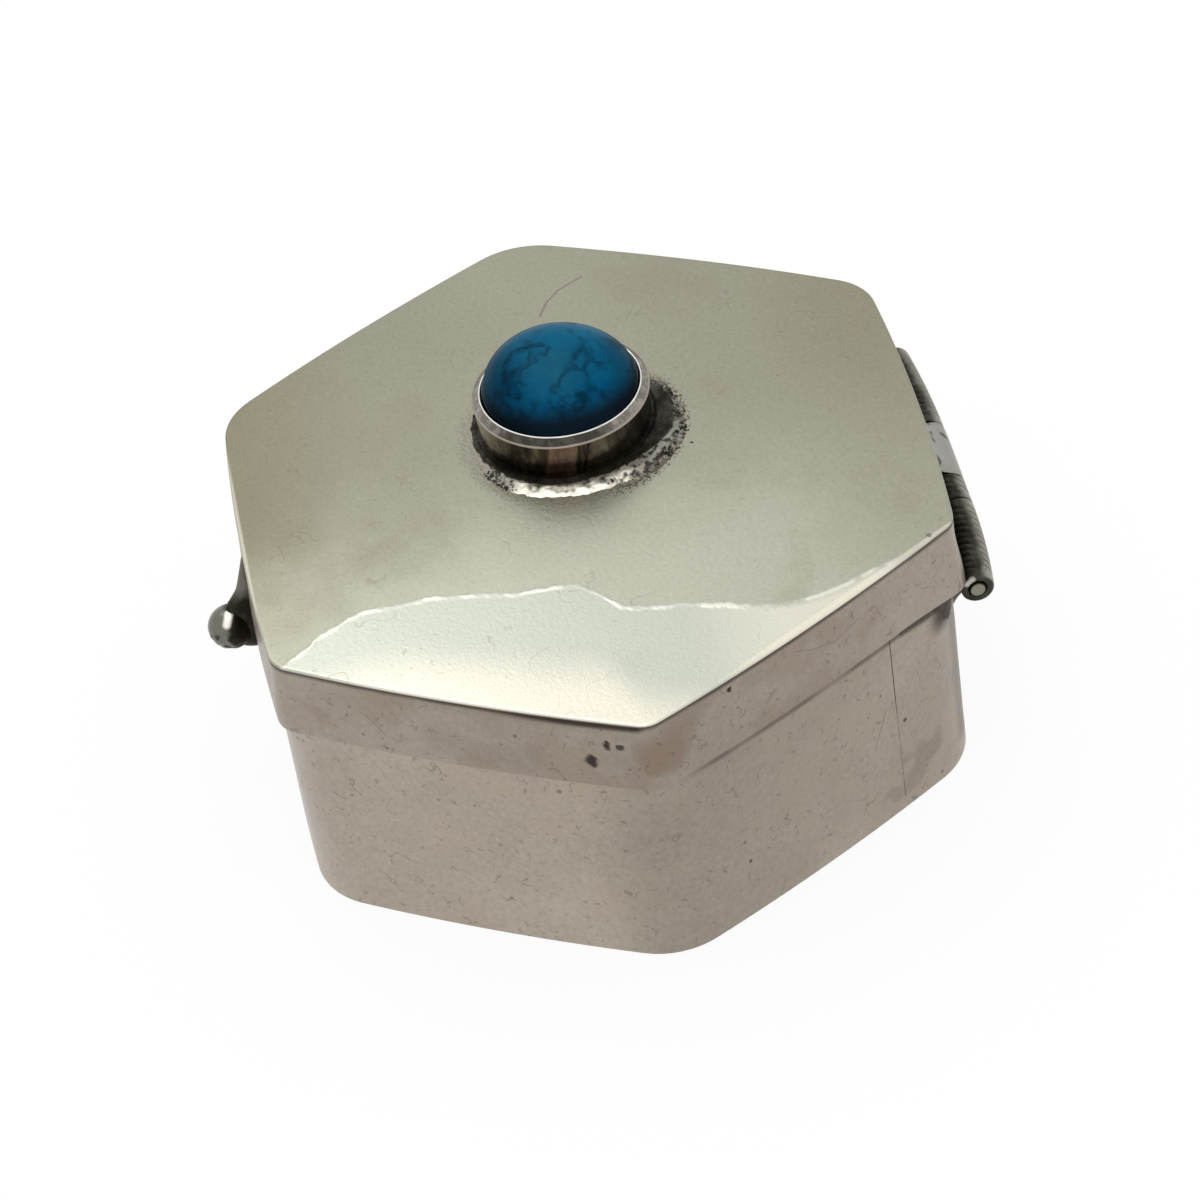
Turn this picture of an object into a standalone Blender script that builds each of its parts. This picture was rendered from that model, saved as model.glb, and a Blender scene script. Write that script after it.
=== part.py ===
"""Hexagonal silver pill box with a hinged lid and a round cabochon, piece by piece.

Metres, +Z up. The origin is the centre of the floor's underside. The hinge lies
along X on the +Y face and the thumb-piece is on the -Y face, so two corners of
the hexagon point along +X and -X. Every piece of the lid hangs on an empty that
lies on the hinge's axis.
"""

import math

import bmesh
import bpy
from mathutils import Matrix, Vector

mm = 0.001

# Whole box
lid_across_flats = 34.0 * mm
overall_height = 16.0 * mm
lip_depth = 4.4 * mm
base_step = 0.2 * mm
side_bow_radius = 120.0 * mm
base_corner_radius = 4.1 * mm
# One radius a corner, from the +X corner towards +Y: a lid bent at the bench is not quite even.
lid_corner_radii = (1.2 * mm, 1.3 * mm, 3.0 * mm, 4.2 * mm, 3.4 * mm, 3.0 * mm)
# For the same reason the hinge side stands a little further out than the other five.
hinge_side_reach = 0.3 * mm

# Sheet and strip
wall_thickness = 0.7 * mm
floor_thickness = 0.8 * mm
lid_plate_thickness = 0.7 * mm
lid_edge_round = 0.38 * mm
floor_edge_round = 0.18 * mm
strip_edge_round = 0.08 * mm
solder_gap = 0.1 * mm
closing_gap = 0.1 * mm

# Butt joints of the two bent strips
joint_gap = 0.24 * mm
joint_clearance = 0.04 * mm
joint_recess = 0.05 * mm
base_joint_offset = 4.85 * mm
lid_joint_offset = 0.5 * mm

# Bearer inside the base
bearer_thickness = 0.5 * mm
bearer_depth = 4.0 * mm
bearer_rise = 1.2 * mm

# Hinge
knuckle_radius = 0.85 * mm
knuckle_length = 6.0 * mm
knuckle_end_gap = 0.1 * mm
knuckle_wall_gap = 0.15 * mm
knuckle_collar = 0.45 * mm
knuckle_end_round = 0.08 * mm
rib_pitch = 0.5 * mm
rib_depth = 0.13 * mm
axis_drop = 0.8 * mm
pin_radius = 0.4 * mm
pin_clearance = 0.06 * mm
pin_proud = 0.1 * mm

# Webs of solder that carry the knuckles
base_strap_length = 4.6 * mm
base_strap_drop = 2.3 * mm
base_strap_rise = 0.4 * mm
base_strap_toe = 0.35 * mm
lid_strap_length = 4.0 * mm
lid_strap_margin = 0.7 * mm
lid_strap_toe = 0.2 * mm
strap_inset = 0.2 * mm
base_strap_touch = math.radians(-60.0)
lid_strap_touch = math.radians(45.0)

# Stone
stone_diameter = 8.0 * mm
stone_girdle_height = 1.25 * mm
stone_dome_height = 3.05 * mm
# A round dome has a fullness of 2; a fuller one is steeper at its foot and flatter on top.
stone_dome_fullness = 2.25
stone_edge_round = 0.25 * mm
stone_clearance = 0.05 * mm
stone_bearer_height = 0.4 * mm
stone_bearer_width = 0.8 * mm

# Bezel
bezel_x = -3.8 * mm
bezel_y = 0.15 * mm
bezel_height = 2.35 * mm
bezel_thickness = 0.33 * mm
bezel_flare = 0.09 * mm
bezel_shoulder_drop = 0.4 * mm
bezel_rim_thickness = 0.18 * mm

# Solder collar round the bezel's foot, widest towards one side
collar_least_width = 0.25 * mm
collar_most_width = 1.95 * mm
collar_height = 0.25 * mm
collar_slope = 0.7 * mm
collar_direction = math.radians(11.0)

# Thumb-piece
ball_radius = 1.15 * mm
ball_standoff = 0.35 * mm
ball_drop = 1.1 * mm
foot_top_margin = 1.1 * mm
foot_tip_radius = 0.2 * mm
foot_neck_radius = 1.1 * mm
foot_lean = 0.6 * mm
foot_drop = 0.75 * mm

# How finely round forms are cut
corner_steps = 6
side_steps = 4
edge_steps = 3
ring_steps = 48
dome_steps = 9
rim_steps = 3
knuckle_steps = 16
web_steps = 6
foot_steps = 6
foot_ring_steps = 20
ball_steps = 24
overrun = 1.0 * mm
weld_distance = 0.0001 * mm
flat_angle = math.radians(0.2)
sharp_angle = math.radians(30.0)

# Worked out from the sizes above
corner_count = 6
corner_turn = 2.0 * math.pi / corner_count
half_corner_turn = 0.5 * corner_turn
quarter_turn = 0.5 * math.pi
lid_flat = 0.5 * lid_across_flats
base_flat = lid_flat - base_step
hinge_side_scale = 1.0 + hinge_side_reach / lid_flat
lid_hinge_face = lid_flat * hinge_side_scale
base_hinge_face = base_flat * hinge_side_scale
base_corner_radii = (base_corner_radius,) * corner_count
seam_height = overall_height - lip_depth
lid_underside = overall_height - lid_plate_thickness
base_wall_span = (floor_thickness + solder_gap, seam_height - closing_gap)
lid_wall_span = (seam_height, lid_underside - solder_gap)
hinge_y = lid_hinge_face + knuckle_wall_gap + knuckle_radius
hinge_z = seam_height - axis_drop
hinge_place = Vector((0.0, hinge_y, hinge_z))
knuckle_pitch = knuckle_length + knuckle_end_gap
strap_start = 0.5 * knuckle_length - strap_inset
stone_radius = 0.5 * stone_diameter
stone_bearer_bottom = overall_height + stone_clearance
stone_bottom = stone_bearer_bottom + stone_bearer_height + stone_clearance
stone_girdle_top = stone_bottom + stone_girdle_height
bezel_bore = stone_radius + stone_clearance
bezel_radius = bezel_bore + bezel_thickness
bezel_top = overall_height + bezel_height
ball_place = Vector((0.0, -(lid_flat + ball_standoff + ball_radius), seam_height - ball_drop))

# Name, colour, roughness and metallic value of each finish
satin_silver = ("satin_silver", (0.60, 0.57, 0.52, 1.0), 0.30, 1.0)
polished_silver = ("polished_silver", (0.72, 0.70, 0.63, 1.0), 0.12, 1.0)
dark_silver = ("dark_silver", (0.22, 0.20, 0.18, 1.0), 0.42, 1.0)
grey_solder = ("grey_solder", (0.42, 0.39, 0.36, 1.0), 0.38, 1.0)
blue_stone = ("blue_stone", (0.01, 0.16, 0.32, 1.0), 0.12, 0.0)


def clear_scene():
    """Remove whatever the file opened with."""
    for obj in list(bpy.data.objects):
        bpy.data.objects.remove(obj, do_unlink=True)


def make_collection(name):
    collection = bpy.data.collections.new(name)
    bpy.context.scene.collection.children.link(collection)
    return collection


def make_carrier(name, place):
    """An empty that a body's pieces hang on."""
    carrier = bpy.data.objects.new(name, None)
    carrier.location = place
    parts.objects.link(carrier)
    return carrier


def make_material(finish):
    name, colour, roughness, metallic = finish
    material = bpy.data.materials.get(name)
    if material is None:
        material = bpy.data.materials.new(name)
        material.use_nodes = True
        shader = material.node_tree.nodes["Principled BSDF"]
        shader.inputs["Base Color"].default_value = colour
        shader.inputs["Roughness"].default_value = roughness
        shader.inputs["Metallic"].default_value = metallic
    return material


def add_part(name, mesh, carrier, finish):
    """A piece of the box, hung on its body's carrier."""
    obj = bpy.data.objects.new(name, mesh)
    parts.objects.link(obj)
    mesh.materials.append(make_material(finish))
    mesh.shade_smooth()
    mesh.set_sharp_from_angle(angle=sharp_angle)
    obj.parent = carrier
    obj.matrix_parent_inverse = Matrix.Translation(carrier.location).inverted()
    return obj


def add_cutter(name, mesh):
    obj = bpy.data.objects.new(name, mesh)
    cutters.objects.link(obj)
    obj.display_type = "WIRE"
    obj.hide_render = True
    return obj


def cut(obj, *tools):
    for tool in tools:
        modifier = obj.modifiers.new(tool.name, "BOOLEAN")
        modifier.operation = "DIFFERENCE"
        modifier.object = tool


def mesh_from(name, shape):
    mesh = bpy.data.meshes.new(name)
    shape.to_mesh(mesh)
    shape.free()
    return mesh


def cone_mesh(name, lower_radius, upper_radius, depth, steps):
    """A cone or cylinder about Z, centred on its own middle."""
    shape = bmesh.new()
    bmesh.ops.create_cone(
        shape,
        cap_ends=True,
        segments=steps,
        radius1=lower_radius,
        radius2=upper_radius,
        depth=depth,
    )
    return mesh_from(name, shape)


def ball_mesh(name, radius):
    shape = bmesh.new()
    bmesh.ops.create_uvsphere(
        shape, u_segments=ball_steps, v_segments=ball_steps // 2, radius=radius
    )
    return mesh_from(name, shape)


def arc_point(centre, radius, angle):
    return centre + radius * Vector((math.cos(angle), math.sin(angle)))


def arc_points(arc, inset=0.0):
    """Points of an arc moved inwards, without its last one, which opens the next arc."""
    centre, radius, start, end, steps = arc
    turns = [start + (end - start) * step / steps for step in range(steps)]
    return [arc_point(centre, radius - inset, turn) for turn in turns]


def bend_points(start, control, end):
    """A smooth bend from start towards control and on to end, without its ends."""
    points = []
    for step in range(1, web_steps):
        share = step / web_steps
        first = start.lerp(control, share)
        second = control.lerp(end, share)
        points.append(first.lerp(second, share))
    return points


def side_centre(flat, side):
    """Centre of a bowed side's arc, behind the middle of the box."""
    angle = side * corner_turn + half_corner_turn
    return arc_point(Vector((0.0, 0.0)), flat - side_bow_radius, angle)


def hexagon_arcs(flat, radii):
    """The arcs of a hexagon with round corners and slightly bowed sides.

    They run anticlockwise from the +X corner, corner and side in turn. Corner
    and side arcs are tangent, so the outline moves inwards by its radii alone.
    """
    side_reach = side_bow_radius - flat
    corners = []
    for radius in radii:
        link = side_bow_radius - radius
        along = side_reach * math.cos(half_corner_turn)
        out = math.sqrt(link**2 - side_reach**2 + along**2) - along
        lean = math.asin(out * math.sin(half_corner_turn) / link)
        corners.append((out, lean))
    arcs = []
    for index, radius in enumerate(radii):
        out, lean = corners[index]
        next_lean = corners[(index + 1) % corner_count][1]
        corner_angle = index * corner_turn
        side_angle = corner_angle + half_corner_turn
        swing = half_corner_turn - lean
        corner = arc_point(Vector((0.0, 0.0)), out, corner_angle)
        side = side_centre(flat, index)
        arcs.append((corner, radius, corner_angle - swing, corner_angle + swing, corner_steps))
        arcs.append((side, side_bow_radius, side_angle - lean, side_angle + next_lean, side_steps))
    return arcs


def moved_out(point):
    """A point of a regular outline, moved as the hinge side stands further out."""
    return Vector((point.x, point.y * (hinge_side_scale if point.y > 0.0 else 1.0)))


def closed_outline(flat, radii, inset=0.0):
    points = []
    for arc in hexagon_arcs(flat, radii):
        points += arc_points(arc, inset)
    return [moved_out(point) for point in points]


def joint_angle(side, offset):
    """Direction of a place on a side, seen from the centre of the side's arc."""
    return side * corner_turn + half_corner_turn + math.asin(offset / side_bow_radius)


def open_outline(flat, radii, side, offset):
    """The outline of a strip that starts and ends at a butt joint."""
    arcs = hexagon_arcs(flat, radii)
    index = 2 * side + 1
    centre, radius, start, end, steps = arcs[index]
    before = joint_angle(side, offset - 0.5 * joint_gap)
    after = joint_angle(side, offset + 0.5 * joint_gap)
    run = [(centre, radius, after, end, steps)]
    run += arcs[index + 1 :] + arcs[:index]
    run.append((centre, radius, start, before, steps))
    points = []
    for arc in run:
        points += arc_points(arc)
    points.append(arc_point(centre, radius, before))
    return [moved_out(point) for point in points]


def sheet_mesh(name, outline, thickness):
    """A filled flat outline with thickness, centred on its own plane."""
    curve = bpy.data.curves.new(name, "CURVE")
    curve.dimensions = "2D"
    curve.fill_mode = "BOTH"
    curve.extrude = 0.5 * thickness
    spline = curve.splines.new("POLY")
    spline.points.add(len(outline) - 1)
    for point, (x, y) in zip(spline.points, outline):
        point.co = (x, y, 0.0, 1.0)
    spline.use_cyclic_u = True
    holder = bpy.data.objects.new(name, curve)
    cutters.objects.link(holder)
    bpy.context.view_layer.update()
    graph = bpy.context.evaluated_depsgraph_get()
    mesh = bpy.data.meshes.new_from_object(holder.evaluated_get(graph))
    bpy.data.objects.remove(holder, do_unlink=True)
    bpy.data.curves.remove(curve)
    shape = bmesh.new()
    shape.from_mesh(mesh)
    bmesh.ops.remove_doubles(shape, verts=shape.verts, dist=weld_distance)
    bmesh.ops.dissolve_limit(shape, angle_limit=flat_angle, verts=shape.verts, edges=shape.edges)
    bmesh.ops.recalc_face_normals(shape, faces=shape.faces)
    shape.to_mesh(mesh)
    shape.free()
    return mesh


def prism_cutter(name, outline, bottom, top):
    tool = add_cutter(name, sheet_mesh(name, outline, top - bottom))
    tool.location.z = 0.5 * (bottom + top)
    return tool


def round_edge(obj, width, upper):
    """Round over the upper or the lower edge of a plate."""
    mesh = obj.data
    weights = mesh.attributes.new("bevel_weight_edge", "FLOAT", "EDGE")
    for edge in mesh.edges:
        heights = [mesh.vertices[index].co.z for index in edge.vertices]
        chosen = min(heights) > 0.0 if upper else max(heights) < 0.0
        weights.data[edge.index].value = float(chosen)
    bevel = obj.modifiers.new("edge", "BEVEL")
    bevel.limit_method = "WEIGHT"
    bevel.width = width
    bevel.segments = edge_steps


def plate(name, outline, bottom, thickness, edge_round, upper, carrier, finish):
    """A flat hexagonal sheet with one edge rounded over."""
    obj = add_part(name, sheet_mesh(name, outline, thickness), carrier, finish)
    obj.location.z = bottom + 0.5 * thickness
    round_edge(obj, edge_round, upper)


def bent_strip(name, outline, closed, span, thickness, carrier):
    """A strip of sheet bent along its outer outline, with its thickness inwards."""
    bottom, top = span
    shape = bmesh.new()
    lower = [shape.verts.new((x, y, 0.0)) for x, y in outline]
    pairs = list(zip(lower, lower[1:]))
    if closed:
        pairs.append((lower[-1], lower[0]))
    edges = [shape.edges.new(pair) for pair in pairs]
    raised = bmesh.ops.extrude_edge_only(shape, edges=edges)["geom"]
    verts = [item for item in raised if isinstance(item, bmesh.types.BMVert)]
    bmesh.ops.translate(shape, verts=verts, vec=(0.0, 0.0, top - bottom))
    shape.normal_update()
    inward = [face for face in shape.faces if face.normal.dot(face.calc_center_median()) < 0.0]
    bmesh.ops.reverse_faces(shape, faces=inward)
    obj = add_part(name, mesh_from(name, shape), carrier, satin_silver)
    obj.location.z = bottom
    shell = obj.modifiers.new("thickness", "SOLIDIFY")
    shell.thickness = thickness
    shell.offset = -1.0
    shell.use_even_offset = True
    bevel = obj.modifiers.new("edges", "BEVEL")
    bevel.limit_method = "ANGLE"
    bevel.angle_limit = half_corner_turn
    bevel.width = strip_edge_round
    bevel.segments = 1


def joint_fill(name, flat, side, offset, span, carrier):
    """The solder in a butt joint, a little sunk from the strip's outer face."""
    bottom, top = span
    angle = joint_angle(side, offset)
    depth = wall_thickness - joint_recess
    size = (depth, joint_gap - 2.0 * joint_clearance, top - bottom)
    shape = bmesh.new()
    bmesh.ops.create_cube(shape, size=1.0, matrix=Matrix.Diagonal((*size, 1.0)))
    obj = add_part(name, mesh_from(name, shape), carrier, dark_silver)
    reach = side_bow_radius - joint_recess - 0.5 * depth
    obj.location.xy = moved_out(arc_point(side_centre(flat, side), reach, angle))
    obj.location.z = 0.5 * (bottom + top)
    obj.rotation_euler.z = math.atan2(math.sin(angle) / hinge_side_scale, math.cos(angle))


def turned_part(name, profile, closed, steps, carrier, finish):
    """A piece turned about Z from (radius, height) points that run down its outer side."""
    shape = bmesh.new()
    verts = [shape.verts.new((radius, 0.0, height)) for radius, height in profile]
    pairs = list(zip(verts, verts[1:]))
    if closed:
        pairs.append((verts[-1], verts[0]))
    for pair in pairs:
        shape.edges.new(pair)
    obj = add_part(name, mesh_from(name, shape), carrier, finish)
    screw = obj.modifiers.new("turning", "SCREW")
    screw.steps = steps
    screw.render_steps = steps
    screw.use_merge_vertices = True
    screw.merge_threshold = weld_distance
    screw.use_smooth_shade = True
    return obj


def lay_along_hinge(obj, centre):
    """Turn a piece made about Z onto the hinge's axis, its middle at x = centre."""
    obj.rotation_euler.y = quarter_turn
    obj.location = (centre, hinge_y, hinge_z)


def make_base(carrier):
    outline = closed_outline(base_flat, base_corner_radii)
    plate("base_floor", outline, 0.0, floor_thickness, floor_edge_round, False, carrier, satin_silver)
    run = open_outline(base_flat, base_corner_radii, 0, base_joint_offset)
    bent_strip("base_wall", run, False, base_wall_span, wall_thickness, carrier)
    joint_fill("base_joint_solder", base_flat, 0, base_joint_offset, base_wall_span, carrier)
    inner = closed_outline(base_flat, base_corner_radii, wall_thickness + solder_gap)
    bearer_top = seam_height + bearer_rise
    bearer_span = (bearer_top - bearer_depth, bearer_top)
    bent_strip("base_bearer", inner, True, bearer_span, bearer_thickness, carrier)


def make_lid(carrier):
    outline = closed_outline(lid_flat, lid_corner_radii)
    plate(
        "lid_plate",
        outline,
        lid_underside,
        lid_plate_thickness,
        lid_edge_round,
        True,
        carrier,
        polished_silver,
    )
    run = open_outline(lid_flat, lid_corner_radii, 1, lid_joint_offset)
    bent_strip("lid_wall", run, False, lid_wall_span, wall_thickness, carrier)
    joint_fill("lid_joint_solder", lid_flat, 1, lid_joint_offset, lid_wall_span, carrier)


def knuckle_profile():
    """Outer side with its ribs from the upper end down, then the bore."""
    half = 0.5 * knuckle_length
    ribbed = knuckle_length - 2.0 * knuckle_collar
    count = max(int(ribbed / rib_pitch), 1)
    pitch = ribbed / count
    bore = pin_radius + pin_clearance
    face = knuckle_radius - knuckle_end_round
    shoulder = half - knuckle_end_round
    top = half - knuckle_collar
    points = [(face, half), (knuckle_radius, shoulder), (knuckle_radius, top)]
    for rib in range(count):
        points.append((knuckle_radius - rib_depth, top - (rib + 0.5) * pitch))
        points.append((knuckle_radius, top - (rib + 1) * pitch))
    return points + [(knuckle_radius, -shoulder), (face, -half), (bore, -half), (bore, half)]


def make_hinge(base_carrier, lid_carrier):
    places = (
        ("hinge_knuckle_far", -knuckle_pitch, base_carrier),
        ("hinge_knuckle_centre", 0.0, lid_carrier),
        ("hinge_knuckle_near", knuckle_pitch, base_carrier),
    )
    for name, centre, carrier in places:
        knuckle = turned_part(name, knuckle_profile(), True, knuckle_steps, carrier, dark_silver)
        lay_along_hinge(knuckle, centre)
    length = 2.0 * knuckle_pitch + knuckle_length + 2.0 * pin_proud
    rod = cone_mesh("hinge_pin", pin_radius, pin_radius, length, knuckle_steps)
    lay_along_hinge(add_part("hinge_pin", rod, base_carrier, dark_silver), 0.0)


def strap(name, outline, start, end, tools, carrier):
    """A web drawn as (y, z) points and drawn out along X, cut to its wall and its knuckle."""
    mesh = sheet_mesh(name, outline, abs(end - start))
    obj = add_part(name, mesh, carrier, grey_solder)
    obj.rotation_euler = (quarter_turn, 0.0, quarter_turn)
    obj.location.x = 0.5 * (start + end)
    cut(obj, *tools)


def base_strap_outline():
    """From the wall down to a thin toe, then up in a bend to the knuckle's underside."""
    axis = Vector((hinge_y, hinge_z))
    buried = base_hinge_face - wall_thickness
    toe = Vector((base_hinge_face + base_strap_toe, hinge_z - base_strap_drop))
    touch = arc_point(axis, knuckle_radius, base_strap_touch)
    bend = bend_points(toe, Vector((toe.x, touch.y)), touch)
    rise = Vector((buried, hinge_z + base_strap_rise))
    return [Vector((buried, toe.y)), toe] + bend + [touch, axis, rise]


def lid_strap_outline():
    """From the lid's upper edge down in a bend to the knuckle's outer side."""
    axis = Vector((hinge_y, hinge_z))
    buried = lid_hinge_face - wall_thickness
    toe = Vector((lid_hinge_face + lid_strap_toe, overall_height - lid_strap_margin))
    touch = arc_point(axis, knuckle_radius, lid_strap_touch)
    bend = bend_points(toe, Vector((toe.x, hinge_z + 2.0 * knuckle_radius)), touch)
    return [Vector((buried, toe.y)), toe] + bend + [touch, axis, Vector((buried, hinge_z))]


def make_straps(base_carrier, lid_carrier, lid_wall_tool):
    base_wall = closed_outline(base_flat, base_corner_radii, -solder_gap)
    base_wall_tool = prism_cutter("base_wall_cut", base_wall, -overrun, seam_height + overrun)
    bore = knuckle_radius + solder_gap
    length = 2.0 * knuckle_pitch + knuckle_length + 2.0 * overrun
    knuckle_tool = add_cutter("knuckle_cut", cone_mesh("knuckle_cut", bore, bore, length, 2 * knuckle_steps))
    lay_along_hinge(knuckle_tool, 0.0)
    near_start = knuckle_pitch - strap_start
    near_end = near_start + base_strap_length
    outline = base_strap_outline()
    base_tools = (base_wall_tool, knuckle_tool)
    strap("hinge_strap_near", outline, near_start, near_end, base_tools, base_carrier)
    strap("hinge_strap_far", outline, -near_end, -near_start, base_tools, base_carrier)
    lid_tools = (lid_wall_tool, knuckle_tool)
    lid_end = lid_strap_length - strap_start
    strap("hinge_strap_centre", lid_strap_outline(), -strap_start, lid_end, lid_tools, lid_carrier)


def dome_radius(height, spread=0.0):
    """Radius of the stone's dome at a height, or of a dome that stands off it by spread."""
    share = (height - stone_girdle_top) / stone_dome_height
    return stone_radius * (1.0 - share**stone_dome_fullness) ** (1.0 / stone_dome_fullness) + spread


def make_stone(carrier):
    ring = stone_radius - stone_bearer_width
    ring_top = stone_bearer_bottom + stone_bearer_height
    ring_profile = [
        (stone_radius, ring_top),
        (stone_radius, stone_bearer_bottom),
        (ring, stone_bearer_bottom),
        (ring, ring_top),
    ]
    bearer = turned_part("stone_bearer", ring_profile, True, ring_steps, carrier, satin_silver)
    dome = []
    bulge = 2.0 / stone_dome_fullness
    for step in range(dome_steps + 1):
        turn = quarter_turn * step / dome_steps
        height = stone_girdle_top + stone_dome_height * max(math.cos(turn), 0.0) ** bulge
        dome.append((stone_radius * math.sin(turn) ** bulge, height))
    foot = [
        (stone_radius, stone_bottom + stone_edge_round),
        (stone_radius - stone_edge_round, stone_bottom),
        (0.0, stone_bottom),
    ]
    stone = turned_part("cabochon", dome + foot, False, ring_steps, carrier, blue_stone)
    for obj in (bearer, stone):
        obj.location.xy = (bezel_x, bezel_y)


def make_bezel(carrier):
    rim_inner = dome_radius(bezel_top, stone_clearance)
    profile = [
        (rim_inner + bezel_rim_thickness, bezel_top),
        (bezel_radius + bezel_flare, bezel_top - bezel_shoulder_drop),
        (bezel_radius, overall_height + solder_gap),
        (bezel_bore, overall_height + solder_gap),
    ]
    for step in range(rim_steps + 1):
        height = stone_girdle_top + (bezel_top - stone_girdle_top) * step / rim_steps
        profile.append((dome_radius(height, stone_clearance), height))
    wall = turned_part("bezel_wall", profile, True, ring_steps, carrier, polished_silver)
    wall.location.xy = (bezel_x, bezel_y)


def make_collar(carrier):
    """The low solder pool round the bezel: a shallow cone, bored off its centre."""
    bore = bezel_radius + solder_gap
    outer = bore + 0.5 * (collar_most_width + collar_least_width)
    shift = 0.5 * (collar_most_width - collar_least_width)
    middle = overall_height + solder_gap + 0.5 * collar_height
    bezel = Vector((bezel_x, bezel_y))
    mesh = cone_mesh("bezel_solder", outer, outer - collar_slope, collar_height, ring_steps)
    collar = add_part("bezel_solder", mesh, carrier, grey_solder)
    collar.location = (*arc_point(bezel, shift, collar_direction), middle)
    bore_mesh = cone_mesh("bezel_cut", bore, bore, collar_height + 2.0 * overrun, ring_steps)
    tool = add_cutter("bezel_cut", bore_mesh)
    tool.location = (bezel_x, bezel_y, middle)
    cut(collar, tool)


def make_thumb_piece(carrier, lid_wall_tool):
    """A ball with a foot that widens from the lid wall down to it."""
    ball = add_part("thumb_ball", ball_mesh("thumb_ball", ball_radius), carrier, polished_silver)
    ball.location = ball_place
    tip = Vector((0.0, -lid_flat, overall_height - foot_top_margin))
    neck = Vector((0.0, -(lid_flat + foot_lean), ball_place.z - foot_drop))
    length = (tip - neck).length
    profile = [(0.0, length)]
    for step in range(foot_steps + 1):
        share = step / foot_steps
        radius = foot_tip_radius + (foot_neck_radius - foot_tip_radius) * share**2
        profile.append((radius, length * (1.0 - share)))
    profile.append((0.0, 0.0))
    foot = turned_part("thumb_foot", profile, False, foot_ring_steps, carrier, grey_solder)
    foot.location = neck
    foot.rotation_euler = (tip - neck).to_track_quat("Z", "Y").to_euler()
    ball_tool = add_cutter("ball_cut", ball_mesh("ball_cut", ball_radius + solder_gap))
    ball_tool.location = ball_place
    cut(foot, lid_wall_tool, ball_tool)


clear_scene()
parts = make_collection("pill_box")
cutters = make_collection("cutters")
base = make_carrier("base", Vector((0.0, 0.0, 0.0)))
lid = make_carrier("lid", hinge_place)
lid_wall_outline = closed_outline(lid_flat, lid_corner_radii, -solder_gap)
lid_wall_cut = prism_cutter("lid_wall_cut", lid_wall_outline, -overrun, overall_height + overrun)
make_base(base)
make_lid(lid)
make_hinge(base, lid)
make_straps(base, lid, lid_wall_cut)
make_stone(lid)
make_bezel(lid)
make_collar(lid)
make_thumb_piece(lid, lid_wall_cut)
bpy.context.view_layer.update()
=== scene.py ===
"""Looks of the hexagonal silver pill box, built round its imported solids.

Every class below is one sub-assembly or one finish. Sizes are in metres, in the
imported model's own frame: +Z up, hinge on the +Y side, thumb-piece on the -Y side.
Materials read places in millimetres.
"""

import logging
import math
from collections.abc import Callable, Sequence
from dataclasses import dataclass, field
from enum import Enum
from functools import cache
from typing import TypeAlias

import bpy
import numpy as np
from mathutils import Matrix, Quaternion, Vector, noise


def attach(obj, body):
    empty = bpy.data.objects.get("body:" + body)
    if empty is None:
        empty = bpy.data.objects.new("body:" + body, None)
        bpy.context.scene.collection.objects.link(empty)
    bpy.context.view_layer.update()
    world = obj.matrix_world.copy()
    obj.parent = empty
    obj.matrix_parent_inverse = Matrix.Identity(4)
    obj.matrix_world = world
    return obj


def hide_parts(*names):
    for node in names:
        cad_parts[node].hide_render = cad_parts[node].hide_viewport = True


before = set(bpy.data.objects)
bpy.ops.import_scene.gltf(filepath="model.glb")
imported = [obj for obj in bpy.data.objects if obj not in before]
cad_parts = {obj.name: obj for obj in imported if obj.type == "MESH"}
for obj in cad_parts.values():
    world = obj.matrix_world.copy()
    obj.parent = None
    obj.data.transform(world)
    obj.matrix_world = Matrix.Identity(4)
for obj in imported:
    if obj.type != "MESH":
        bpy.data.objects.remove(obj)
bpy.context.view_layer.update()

mm = 0.001
Array = np.ndarray
Skin = Callable[[Array], Array]
Colour = tuple[float, float, float]
Place = tuple[float, float, float]
Node = bpy.types.Node
Socket = bpy.types.NodeSocket
Tree = bpy.types.NodeTree
Material = bpy.types.Material
Piece = bpy.types.Object
Value: TypeAlias = "float | Wire"
Inputs = dict[int | str, object]
Names = tuple[str, ...]
# The side that has a butt joint, how far past that side's middle it lies and its gap
Joint = tuple[int, float, float]
log = logging.getLogger("pill_box")


class Body(Enum):
    """The two bodies that the hinge joins."""

    BASE = "base"
    LID = "lid"


class Slot(Enum):
    """The record's material slots."""

    SATIN = "satin_silver"
    POLISHED = "polished_silver"
    DARK = "dark_silver"
    SOLDER = "grey_solder"
    STONE = "blue_stone"


# Node trees


def add(tree: Tree, kind: str, inputs: Inputs | None = None, **settings: object) -> Node:
    """Add a node to a tree.

    Args:
        tree: The material's, group's or modifier's node tree.
        kind: The node's type name.
        inputs: A value or a wire for each input, by its name or its place.
        settings: The node's own properties.

    Returns:
        The new node.
    """
    node = tree.nodes.new(kind)
    for name, value in settings.items():
        setattr(node, name, value)
    for key, value in (inputs or {}).items():
        if isinstance(value, Wire):
            tree.links.new(value.socket, node.inputs[key])
        else:
            node.inputs[key].default_value = value
    return node


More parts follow.
